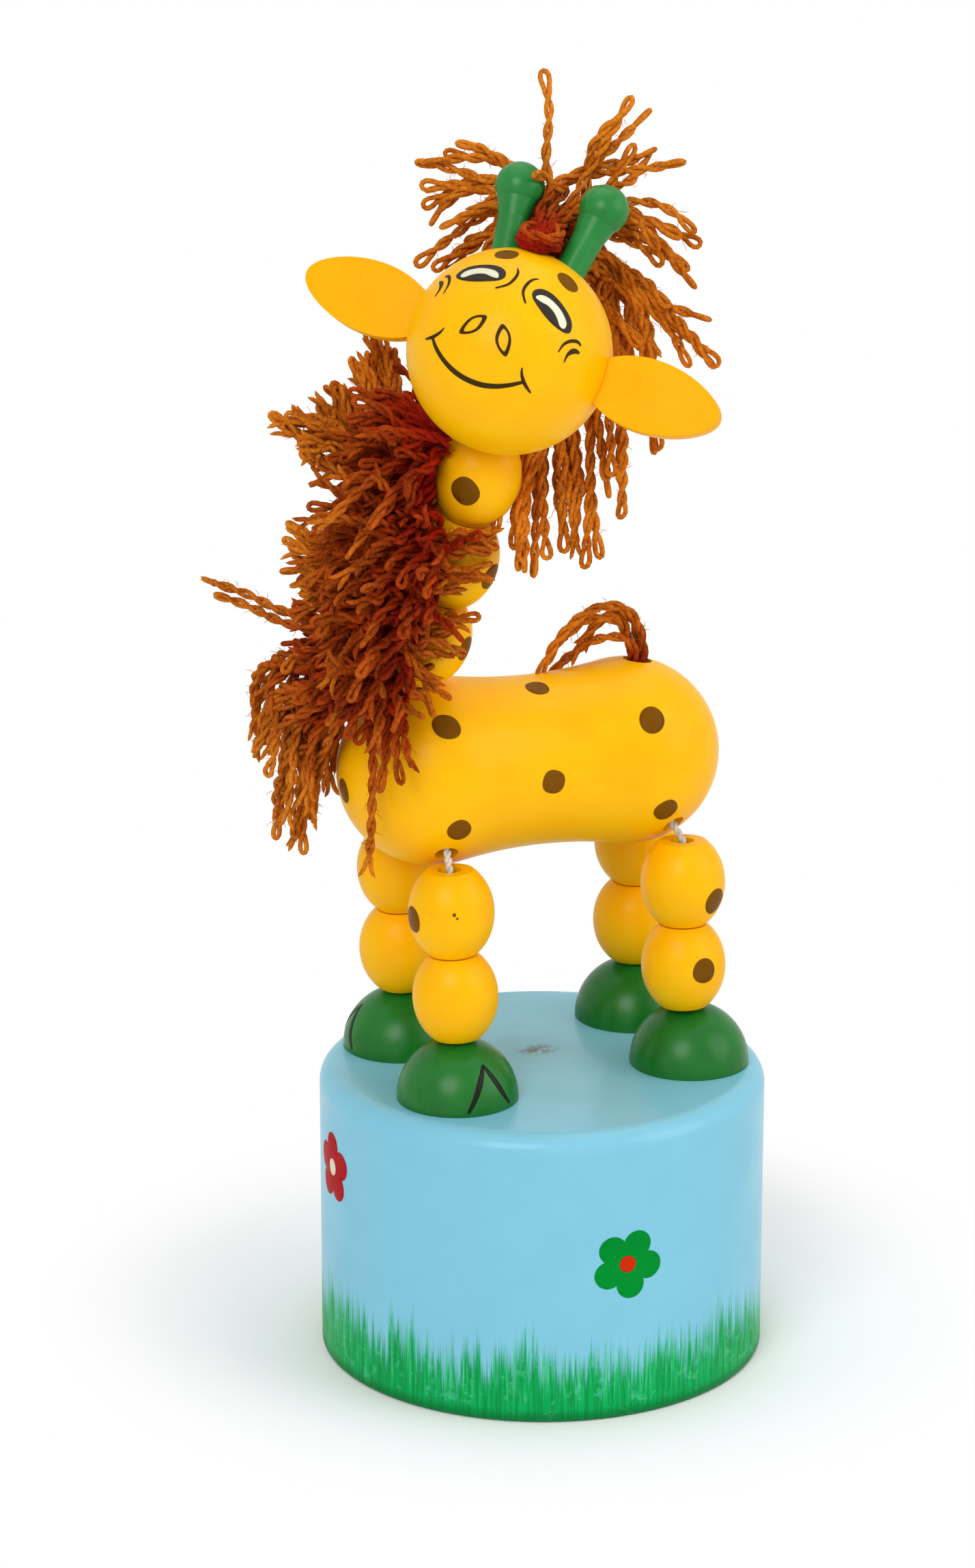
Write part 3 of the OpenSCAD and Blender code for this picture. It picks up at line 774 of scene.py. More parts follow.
def spun(name, threads, thread_r, roundness=1, shaded=False):
    """Round threads as one mesh, with their nearness to the tip as an attribute if they are shaded by it"""
    curve = bpy.data.curves.new(name, "CURVE")
    curve.dimensions = "3D"
    curve.bevel_depth = thread_r * MM
    curve.bevel_resolution = roundness
    curve.use_fill_caps = not shaded
    for path, radii, _ in threads:
        spline = curve.splines.new("POLY")
        spline.points.add(len(path) - 1)
        spline.points.foreach_set("co", [v for p in path for v in (p.x * MM, p.y * MM, p.z * MM, 1.0)])
        spline.points.foreach_set("radius", radii)
    obj = to_mesh(name, curve)
    if shaded:
        mesh = obj.data
        sides, rest = divmod(len(mesh.vertices), sum(len(path) for path, _, _ in threads))
        if rest:
            raise RuntimeError(name + " has threads of uneven roundness")
        near = [value for _, _, values in threads for value in values for _ in range(sides)]
        mesh.attributes.new("tip", "FLOAT", "POINT").data.foreach_set("value", near)
    return obj


def yarn_piece(name, strands, rng, body, eye=1.7, downy=0.55, fade=12.0, spare=3):
    """Strands and their loose fibres, each as a piece, darkened towards the root, partly dye and partly
    painted shade. A strand is a line, whether it ends in a loop and, where its line starts away from the
    wood, the length of painted root shade that it skips"""
    yarn = bpy.context.scene.puppet_yarn
    step = yarn.step / MM
    lines, threads = [], []
    for line, looped, *gone in strands:
        even = resampled(line, step)
        if len(even) > 4 * spare:
            even = even[:-spare]
        lines.append(even)
        threads += plies(even, yarn.spread / MM, yarn.pitch / MM, rng, looped, eye, fade, *gone)
    material = finish("Rust yarn", wool)
    if downy:
        hairs = fluff(lines, downy, (yarn.ply + yarn.spread) * 0.8 / MM, rng, step, fade)
        down = spun(name + "_fluff", hairs, yarn.hair / MM, 0, True)
        settle(down, down.name, material, body)
    return settle(spun(name, threads, yarn.ply / MM, 1, True), name, material, body)


# Balls that fill the wood, with the distance that yarn keeps from it

def horn_balls():
    balls = []
    for root, tip in HORNS:
        balls += [(root.lerp(tip, k / 8), HORN_STEM_R + max(k - 4, 0) * 0.25 + CLEAR) for k in range(8)]
        balls.append((tip, HORN_TIP_R + CLEAR))
    return balls


def wood_balls():
    """Balls in the neck, head and trunk"""
    balls = []
    for low, top in NECK_BEADS:
        middle, axis = (low + top) / 2, (top - low).normalized()
        balls.append((middle, NECK_BEAD_R + CLEAR))
        balls += [(middle + axis * 2.4 * sign, NECK_BEAD_R - 0.45 + CLEAR) for sign in (-1, 1)]
    balls.append((HEAD, HEAD_R + CLEAR))
    for t, radius in ((0, SWELL_R), (0.25, 9.8), (0.5, 9.5), (0.75, 9.8), (1, SWELL_R)):
        balls.append((CHEST.lerp(RUMP, t), radius + CLEAR))
    return balls


def turned_heads():
    """Balls in the head while it turns"""
    pivot = NECK_BEADS[2][1]
    balls = []
    for angle in (-75, -55, -35, -15, 15, 35, 55, 75):
        turn = Matrix.Rotation(radians(angle), 3, NECK_UP)
        balls.append((pivot + turn @ (HEAD - pivot), HEAD_R + CLEAR))
    return balls


# Operators

class PUPPET_OT_paint_wood(Operator):
    """Paint the beads, trunk, head, hooves and horns"""
    bl_idname = "puppet.paint_wood"
    bl_label = "Paint wood"

    def execute(self, context):
        paint = context.scene.puppet_paint
        yellow = paint.yellow, paint.yellow_deep
        upright = paint_finish("Yellow paint", *yellow)
        finishes = {
            "lower_bead": upright, "upper_bead": upright, "neck_bead": upright, "head": upright,
            "trunk": paint_finish("Yellow paint lengthwise", *yellow, grain=(90, 900, 900)),
            "hoof": paint_finish("Green paint", paint.green, paint.green_deep, wear=0.25, coat=0.42),
            "horn": paint_finish("Horn paint", paint.horn, paint.horn_deep, wear=0.25, coat=0.42),
        }
        for name, node in NODES.items():
            for kind, material in finishes.items():
                if name.startswith(kind):
                    dress(node, material)
        return {"FINISHED"}


class PUPPET_OT_paint_drum(Operator):
    """Paint the drum: sky, grass and flowers"""
    bl_idname = "puppet.paint_drum"
    bl_label = "Paint drum"

    # Heading, height and turn of each flower, colours of its petals and heart
    flowers = (
        ("green", -89.0, 18.0, 62.0, "flower_green", "flower_heart"),
        ("red", 181.0, 23.7, 20.0, "flower_red", "eye_white"),
        ("back", 66.0, 20.5, 40.0, "flower_red", "eye_white"),
    )
    heart_r = 0.95

    def execute(self, context):
        paint = context.scene.puppet_paint
        dress(NODES["base"], finish("Drum paint", drum_paint))
        for name, azimuth, height, turn, petals, heart in self.flowers:
            spot = level(azimuth) * DRUM_R + UP * height
            for part, outline, tone, lift in (("petals", self.five_petals(), petals, 0.012),
                                              ("heart", ring(self.heart_r), heart, 0.03)):
                obj = patch("flower_" + name + "_" + part, [outline])
                lay_mark(obj, "base", spot, radians(turn), level(azimuth), lift)
                shade = getattr(paint, tone)
                gouache = paint_finish("Flower " + tone, shade, darker(shade, 0.8), coat=0.0, shine=0.03)
                settle(obj, obj.name, gouache, "drum")
        return {"FINISHED"}

    def five_petals(self, away=2.42, radius=1.6, count=120):
        """Outline of five round petals, 8 mm across"""
        points = []
        for i in range(count):
            angle = tau * i / count
            off = (angle + pi / 5) % (tau / 5) - pi / 5
            reach = radius * radius - (away * sin(off)) ** 2
            r = away * cos(off) + sqrt(reach) if reach > 0 else away * 0.8
            points.append((r * cos(angle), r * sin(angle)))
        return points


class PUPPET_OT_paint_spots(Operator):
    """Dab the brown spots on the yellow wood"""
    bl_idname = "puppet.paint_spots"
    bl_label = "Paint spots"

    seed = 31
    # Places in millimetres, and radii where they aren't left to chance
    spots = {
        "trunk": ((-13.71, -6.77, 74.99, 1.6), (-1.31, -1.58, 76.85), (-1.88, -8.14, 67.99),
                  (-12.94, -8.68, 63.82), (10.02, -7.03, 73.54), (11.56, -7.62, 63.25, 1.4),
                  (-23.07, 0.35, 66.8), (-3.0, 9.6, 70.0), (9.0, 10.6, 72.5), (-14.5, 9.4, 73.2),
                  (6.5, 9.8, 62.6), (-11.2, 9.6, 63.0), (20.4, 3.2, 69.8)),
        "lower_bead_rl": ((14.79, -11.47, 45.46),),
        "upper_bead_rl": ((16.42, -10.43, 53.04),),
        "upper_bead_fl": ((-18.0, -8.2, 54.2), (-14.8, -12.1, 55.5, 0.2), (-14.5, -12.2, 55.1, 0.13)),
        "lower_bead_fr": ((-14.4, 14.6, 45.2),),
        "upper_bead_fr": ((-12.0, 14.0, 55.0),),
        "upper_bead_rr": ((16.8, 14.2, 54.4),),
        "lower_bead_rr": ((18.9, 8.2, 45.6),),
        "neck_bead_3": ((-13.18, -11.23, 101.64), (-6.6, -5.2, 103.2)),
        "neck_bead_2": ((-9.21, -8.54, 91.51), (-9.6, -1.2, 93.6)),
        "neck_bead_1": ((-11.0, -5.57, 83.08), (-11.8, 2.0, 84.6)),
        "head": ((-10.3, -15.9, 127.27, 1.25), (-5.10, -19.89, 124.70, 1.3), (-4.6, -5.2, 120.2),
                 (-12.4, -4.6, 113.4)),
    }

    def execute(self, context):
        paint = context.scene.puppet_paint
        rng = random.Random(self.seed)
        brown = paint_finish("Brown spot", paint.spot, darker(paint.spot, 0.7), gloss=0.4, coat=0.0)
        for node, places in self.spots.items():
            marks = []
            for x, y, z, *size in places:
                radius = size[0] if size else rng.uniform(1.32, 1.56)
                mark = patch("spots_" + node, [blot(rng, radius, rng.uniform(0.9, 1.08))], 3)
                marks.append(lay_mark(mark, node, (x, y, z), rng.uniform(*ANY_ANGLE)))
            settle(join(marks), "spots_" + node, brown, NODES[node]["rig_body"])
        return {"FINISHED"}


class PUPPET_OT_draw_face(Operator):
    """Draw the painted face on the head"""
    bl_idname = "puppet.draw_face"
    bl_label = "Draw face"

    # Degrees to the right and up on the ball, for the right half; the left half is its mirror
    right = Vector((0.6847, -0.6226, -0.3789))
    up = Vector((0.5533, 0.1055, 0.8263))
    eye = ((10.3, 29), (11.5, 32), (15, 34.2), (20.5, 34.7), (26.5, 33.4), (32.8, 30.6), (38.4, 27),
           (41.2, 23.2), (41.6, 19.4), (39.8, 17.4), (35.9, 16.8), (29.8, 17.4), (23.2, 19.5), (16.8, 22.6),
           (12, 25.7))
    white = ((13.6, 26.8), (15, 29.3), (18.9, 30.6), (24.6, 30), (30.4, 28), (34.9, 25), (37.3, 22.4),
             (37.5, 19.6), (36, 18.4), (33.7, 18.9), (31.2, 21.4), (27.4, 24.2), (22.6, 25.9), (17.6, 25.9))
    strokes = (
        (((10.2, 20.4), (5.5, 25.6), (4.4, 31.2), (5.6, 36.4), (8.8, 39.6)), (0.8, 1.2, 1.5, 1.3, 0.5)),
        (((26, -11.8), (28, -15.2), (32.4, -18.7), (38.6, -21.2)), (0.5, 1.2, 1.5, 0.7)),
        (((39.6, 5.6), (40.6, 11), (44, 14.9), (48.4, 16.8), (51.6, 16)), (0.4, 1.1, 1.4, 1.4, 0.8)),
        (((45.6, 2.6), (45.6, 7.4), (48.2, 11), (52.4, 12)), (0.4, 1.3, 2.2, 0.9)),
    )
    nostril = ((4.8, 3.6), (4.4, -1.8), (6, -6.2), (10.2, -9.7), (15.1, -11), (14.9, -6), (12.9, -1.1),
               (9.4, 2.2))
    nostril_at = (9.7, -3.7)
    nostril_hole = (0.62, 0.72)
    smile = ((-33, -18.6), (-27.6, -23.6), (-19.4, -28.4), (-10, -31.6), (0, -32.6),
             (10, -31.4), (18.6, -28), (25.4, -23.4), (31, -18.2))
    smile_widths = (1.3, 1.9, 2.1, 2.3, 2.3, 2.3, 2.1, 1.8, 1.3)
    bold = 1.35

    def execute(self, context):
        lines = [[stroke(self.smile, self.smile_widths, self.bold)]]
        eyes, whites, nostrils = [], [], []
        (at_x, at_y), (wide, tall) = self.nostril_at, self.nostril_hole
        for side in (1, -1):
            def flip(points):
                return [(side * x, y) for x, y in points]
            eyes.append([rounded(flip(self.eye))])
            whites.append([rounded(flip(self.white))])
            lines += [[stroke(flip(points), widths, self.bold)] for points, widths in self.strokes]
            rim = rounded(flip(self.nostril))
            hole = [(side * at_x + (x - side * at_x) * wide, at_y + (y - at_y) * tall) for x, y in rim]
            nostrils.append([rim, hole])
        self.lay_on_head("face_lines", lines + nostrils, "line", 0.02)
        self.lay_on_head("face_eyes", eyes, "eye", 0.02)
        self.lay_on_head("face_eye_whites", whites, "eye_white", 0.045)
        return {"FINISHED"}

    def lay_on_head(self, name, shapes, tone, lift):
        front = self.right.cross(self.up)
        marks = []
        for outlines in shapes:
            obj = patch(name, outlines, 5)
            for vertex in obj.data.vertices:
                lon, lat = radians(vertex.co.x / MM), radians(vertex.co.y / MM)
                aim = (self.right * sin(lon) + front * cos(lon)) * cos(lat)
                aim += self.up * sin(lat)
                vertex.co = (HEAD + aim.normalized() * (HEAD_R + lift)) * MM
            edit_all(obj)
            bpy.ops.mesh.normals_make_consistent(inside=False)
            deselect()
            face = obj.data.polygons[0]
            if face.normal.dot(face.center - HEAD * MM) < 0:
                edit_all(obj)
                bpy.ops.mesh.flip_normals()
                deselect()
            film(obj)
            marks.append(obj)
        shade = getattr(bpy.context.scene.puppet_paint, tone)
        ink = paint_finish("Face " + tone, shade, darker(shade, 0.75), gloss=0.4, coat=0.0)
        settle(join(marks), name, ink, "head")


class PUPPET_OT_mark_hooves(Operator):
    """Draw the cleft on each hoof"""
    bl_idname = "puppet.mark_hooves"
    bl_label = "Mark hooves"

    # Heading of each cleft, and how high they sit
    headings = {"fl": -75.0, "fr": 170.0, "rl": 40.0, "rr": 60.0}
    rise = radians(24)
    cleft = (
        (((-2.8, -2.15), (-2.1, -1.1), (-1.0, 0.7), (0.1, 2.5)), (0.3, 0.55, 0.66, 0.3)),
        (((0.1, 2.6), (0.8, 0.9), (1.7, -0.9), (2.6, -2.1)), (0.3, 0.64, 0.55, 0.28)),
    )

    def execute(self, context):
        black = paint_finish("Hoof line", tint(26, 30, 22), tint(14, 18, 12), gloss=0.4)
        for leg, heading in self.headings.items():
            out = level(heading) * cos(self.rise) + UP * sin(self.rise)
            spot = LEGS[leg][0] + out * HOOF_R
            name = "hoof_line_" + leg
            marks = [lay_mark(patch(name, [stroke(*line)], 3), "hoof_" + leg, spot, outward=out)
                     for line in self.cleft]
            settle(join(marks), name, black, "drum")
        return {"FINISHED"}


class PUPPET_OT_make_ears(Operator):
    """Round the edges of the ears"""
    bl_idname = "puppet.make_ears"
    bl_label = "Make ears"

    # Width of the rounding, and the angle from which an edge gets it
    edge = 0.55
    sharp = radians(50)

    def execute(self, context):
        paint = context.scene.puppet_paint
        yellow = paint_finish("Ear paint", paint.ear, paint.ear_deep, grain=(300, 1200, 1200), wear=0.3,
                              gloss=0.45, coat=0.0)
        for name in ("ear_left", "ear_right"):
            obj = link(name + "_leaf", NODES[name].data.copy())
            edit_all(obj)
            bpy.ops.mesh.remove_doubles(threshold=1e-6)
            bpy.ops.mesh.dissolve_limited(angle_limit=radians(1))
            deselect()
            modify(obj, "BEVEL", limit_method="ANGLE", angle_limit=self.sharp, width=self.edge * MM,
                   segments=4)
            apply_all(obj)
            settle(obj, name + "_leaf", yellow, "head", smooth=False)
            activate(obj)
            bpy.ops.object.shade_smooth_by_angle(angle=radians(40))
            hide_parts(name)
        return {"FINISHED"}


class PUPPET_OT_fit_button(Operator):
    """Finish the push button and wind its spring"""
    bl_idname = "puppet.fit_button"
    bl_label = "Fit button"

    # Gap at the spring's ends, points in a turn, and an end turn's pitch as a share of an even one
    gap = 0.05
    points_in_turn = 40
    end_pitch = 0.12

    def execute(self, context):
        cord = context.scene.puppet_cord
        beech = paint_finish("Bare beech", BEECH, tint(190, 148, 98), grain=(1400, 160, 160),
                             gloss=0.6, wear=0.75, coat=0.0)
        dress(NODES["push_button"], beech)
        wire, turns, path = cord.wire / MM, cord.turns, []
        low, high = BUTTON_TOP + self.gap + wire, CEILING - self.gap - wire
        closed = 1 / turns * self.end_pitch
        for i in range(turns * self.points_in_turn + 1):
            t = i / (turns * self.points_in_turn)
            rise = closed * min(t * turns, 1) + closed * max(t * turns - turns + 1, 0)
            rise += (1 - 2 * closed) * min(max((t * turns - 1) / (turns - 2), 0), 1)
            path.append(polar(tau * t * turns, cord.coil / MM, low + (high - low) * rise))
        obj = spun("spring_coil", [plain(path)], wire)
        settle(obj, "spring_coil", finish("Spring steel", steel), "drum")
        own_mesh(obj)
        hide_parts("spring")
        return {"FINISHED"}


class PUPPET_OT_lay_cords(Operator):
    """Thread the pull cords"""
    bl_idname = "puppet.lay_cords"
    bl_label = "Lay cords"

    # Heights of the knots and of points on the cords above them, gap between two beads,
    # and a distance on either side of a joint that is handed to a cord as its start and end
    seed = 5
    knot_z = 3.1
    hanging = (4.0, 12.0, 20.0, 28.5)
    bead_gap = 0.08
    leg_bend = 1.2
    neck_bend = 0.8

    def execute(self, context):
        rng = random.Random(self.seed)
        for leg, (root, foot, top) in LEGS.items():
            self.thread_leg(leg, root, foot, top, rng)
        self.thread_neck(rng)
        return {"FINISHED"}

    def thread_leg(self, leg, root, foot, top, rng):
        axis = (top - foot).normalized()
        knee = foot + axis * (LEG_BEAD_L + self.bead_gap)
        under = Vector((root.x, root.y, 0))
        ends = self.knot(under + UP * self.knot_z, rng)
        ends += self.twisted([under + UP * z for z in self.hanging], rng)
        obj = self.lay("button_cord_" + leg, ends, "button")
        self.slacken(obj)
        if leg == "fl":
            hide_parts("front_cord")
        if leg == "rl":
            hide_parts("rear_cord")
        lower, upper, bend = "lower_" + leg, "upper_" + leg, axis * self.leg_bend
        shin = self.twisted([root - UP, root + UP * 3, foot, foot + axis * 2.5, foot + axis * 5], rng)
        self.lay("shin_cord_" + leg, shin, "drum", lower, foot - bend, foot + bend)
        shank = self.twisted([foot + axis * 5.2, knee - axis * 2, knee + axis * 2, knee + axis * 4], rng)
        self.lay("knee_cord_" + leg, shank, lower, upper, knee - bend, knee + bend)
        swell = CHEST if leg[0] == "f" else RUMP
        inward = (swell + Vector((0, (-1 if leg[1] == "l" else 1) * 2.0, 0)) - top).normalized()
        stub = self.twisted(
            [knee + axis * 4.3, top - axis * 1.5, top, top + inward * 1.6, top + inward * 2.8], rng)
        follow = "trunk" if leg == "fl" else None
        self.lay("top_cord_" + leg, stub, upper, follow, top - axis * 0.5, top + inward * 2)

    def thread_neck(self, rng):
        bodies = ("trunk", "neck_1", "neck_2", "neck_3", "head")
        lows, tops = zip(*NECK_BEADS)
        ways = [lows[0] - CHEST] + [top - low for low, top in NECK_BEADS]
        ways = [way.normalized() for way in ways] + [NECK_UP]
        joints = [lows[0], (tops[0] + lows[1]) / 2, (tops[1] + lows[2]) / 2, tops[2]]
        for i, joint in enumerate(joints):
            before, after = ways[i], ways[i + 1]
            line = [joint - before * 4, joint - before * 1.5, joint, joint + after * 1.5, joint + after * 4]
            self.lay("neck_cord_" + str(i), self.twisted(line, rng), bodies[i], bodies[i + 1],
                     joint - before * self.neck_bend, joint + after * self.neck_bend)

    def lay(self, name, threads, body, follow=None, start=None, end=None):
        """A cord on a body, or, if it has one to follow, one that is left on no body; start and end are not
        used
        """
        obj = spun(name, threads, bpy.context.scene.puppet_cord.ply / MM)
        settle(obj, name, finish("White cotton", cotton), None if follow else body)
        if follow:
            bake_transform(obj)
        return obj

    def slacken(self, obj):
        """Gives a cord a mesh of its own"""
        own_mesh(obj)

    def twisted(self, points, rng):
        """Two plies along a curve, cut off before they fray"""
        found = plies(resampled(through(points, 8), 0.3), 0.22, 1.9, rng, False, 0)
        return [tuple(values[:-len(FRAYED)] for values in thread) for thread in found]

    def knot(self, middle, rng, count=60):
        """Overhand knot with a short end"""
        path, spin = [], rng.uniform(*ANY_ANGLE)
        for i in range(count + 1):
            t = tau * i / count
            path.append(middle + polar(2 * t + spin, 0.72 + 0.36 * cos(3 * t), 0.75 * sin(3 * t)))
        end = [middle + polar(spin, 0.5, -0.6 - 0.35 * k) for k in range(4)]
        return [plain(path, 1.55), (end, [1.4, 1.4, 1.3, 1.1], [0.0] * 4)]


class PUPPET_OT_tie_mane(Operator):
    """Tie the mane's three tufts to the neck"""
    bl_idname = "puppet.tie_mane"
    bl_label = "Tie mane"

    # Heading of the loose ends, locks in a tuft, share of strands in the undercoat (short, so mostly in
    # painted root shade), length of painted root shade that a placed strand skips, and the length over which
    # the painted root shade gives way
    heading = 188.0
    locks = 40
    undercoat = 0.45
    covered = 7.0
    fade = 26.0
    # Lean of a tuft's strands, their least and greatest length, headings between which their roots lie
    tufts = (
        ("lower", -0.30, 7.5, 15.0, 138.0, 226.0),
        ("middle", -0.02, 9.0, 17.5, 138.0, 226.0),
        ("upper", 0.14, 8.0, 15.5, 115.0, 186.0),
    )
    # Strands that end at a given place: headings of their roots, places in the picture and their depths
    placed = (
        ((188, 222), (
            (692, 900, -5), (668, 911, -5), (672, 940, -5), (661, 970, -5), (650, 1000, -6), (657, 1026, -7),
            (640, 1045, -7))),
        ((188, 222), (
            (735, 788, -5), (733, 812, -5), (722, 830, -5), (709, 850, -5), (692, 872, -5), (610, 730, 1),
            (590, 750, 2), (625, 762, 0), (640, 742, 2), (630, 732, 3), (645, 756, 1), (428, 770, 1),
            (422, 805, 1), (436, 840, 1), (440, 880, 2))),
        ((120, 170), (
            (557, 496, 6), (540, 512, 5), (524, 529, 4), (495, 558, 3), (470, 574, 3), (429, 603, 2),
            (405, 614, 1), (437, 652, 0), (575, 520, 6), (550, 560, 5), (600, 735, 1), (585, 765, 1),
            (630, 714, 1), (634, 732, 0))),
    )
    # Picture places of the lowest tuft's hanging ends and of two that stand out, and the longest strand's way
    hanging = ((372, 1035), (378, 1075), (395, 1085), (388, 1122), (402, 1132), (415, 1226), (432, 1240),
               (455, 1212), (470, 1200), (480, 1160), (440, 1180), (425, 1150), (460, 1130), (485, 1100))
    outliers = ((298, 841), (312, 868))
    longest = ((560, 985, -9), (541, 1040, -10), (546, 1120, -10.5), (544, 1200, -10.5), (541, 1250, -9.5),
               (535, 1288, -9))

    def execute(self, context):
        yarn = context.scene.puppet_yarn
        balls = wood_balls()
        for i, (name, *shape) in enumerate(self.tufts):
            rng = random.Random(yarn.seed + i)
            if name == "upper":
                balls += turned_heads()
            lines = [self.strand(i, *shape, rng, balls) for _ in range(yarn.tuft)]
            if i == 0:
                lines += self.loose_ends(rng, balls)
            strands = [(line, rng.random() < LOOPED) for line in lines]
            lines = self.placed_ends(i, rng, balls)
            strands += [(line, rng.random() < LOOPED, self.covered) for line in lines]
            obj = yarn_piece("mane_yarn_" + name, strands, rng, "neck_" + str(i + 1), 1.3, 0.8, self.fade)
            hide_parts("mane_" + name)
        return {"FINISHED"}

    def strand(self, i, lean, least, most, first, last, rng, balls):
        """A strand of the short undercoat, or one of a lock whose strands go much the same way"""
        low, top = NECK_BEADS[i]
        axis = (top - low).normalized()
        under = rng.random() < self.undercoat
        lock = rng if under else random.Random(100 * i + rng.randrange(self.locks))
        share = min(max(lock.uniform(0.04, 0.96) + rng.gauss(0, 0.07), 0.04), 0.96)
        turn = lock.uniform(first, last) + rng.gauss(0, 6)
        side = level(turn)
        side = (side - axis * side.dot(axis)).normalized()
        root = low.lerp(top, share) + side * (NECK_BEAD_R + 0.3)
        way, rise = turn + lock.gauss(0, 18), lean + (share - 0.5) * 0.9 + lock.gauss(0, 0.5)
        reach, kind = lock.uniform(least, most), lock.random()
        if kind < 0.3 and last > 200:
            way, rise = lock.uniform(205, 255), lock.gauss(lean / 2, 0.36)
            reach *= 0.5 if i == 0 else 0.62
        elif kind < 0.5:
            way, rise = lock.uniform(first - 20, last + 10), lock.gauss(0, 0.7)
            reach *= 0.85
        reach *= 0.75 if under else rng.uniform(0.8, 1.1)
        aim = level(way + rng.gauss(0, 6)) + UP * (rise + rng.gauss(0, 0.12))
        return grow(root, aim, reach, rng.uniform(0.01, 0.06), rng.uniform(0.1, 0.5), rng, balls)

    def placed_ends(self, i, rng, balls):
        low, top = NECK_BEADS[i]
        headings, places = self.placed[i]
        lines = []
        for x, y, back in places:
            for _ in range(2 if back < 0 else 5):
                tip = sighted(x + rng.uniform(-14, 10), y + rng.uniform(-14, 14), (low + top) / 2,
                              back + rng.uniform(-1, 1))
                out = level(rng.uniform(*headings))
                root = low.lerp(top, rng.uniform(0.1, 0.9)) + out * (NECK_BEAD_R + rng.uniform(0.4, 3.0))
                bend = root + out * rng.uniform(1.5, 3.5), tip.lerp(root, 0.35) + out * 1.5
                lines.append(clear_of(wavy(bezier(root, *bend, tip, 30), 0.3, rng), balls))
        return lines

    def loose_ends(self, rng, balls):
        low, top = NECK_BEADS[0]
        lines = []
        for x, y in self.hanging:
            for _ in range(3):
                tip = sighted(x + rng.uniform(-14, 14), y + rng.uniform(-30, 12), CHEST, rng.uniform(-5, 5))
                root = low + level(self.heading + rng.uniform(-30, 60)) * (NECK_BEAD_R + 1)
                root += DOWN * rng.uniform(-4, 2)
                out = level(self.heading + rng.uniform(-40, 50)) * rng.uniform(5, 9)
                line = bezier(root, root + out + UP, tip + UP * 9, tip)
                lines.append(clear_of(wavy(line, 0.35, rng), balls))
        out = level(self.heading)
        root = low.lerp(top, 0.6) + out * NECK_BEAD_R
        for x, y in self.outliers:
            tip = sighted(x, y, low)
            lines.append(wavy(bezier(root, root + out * 6 + DOWN, tip - out * 6 + DOWN * 3, tip), 0.25, rng))
        line = through([sighted(x, y, CHEST, back) for x, y, back in self.longest], 8)
        lines.append(clear_of(line, balls))
        return lines


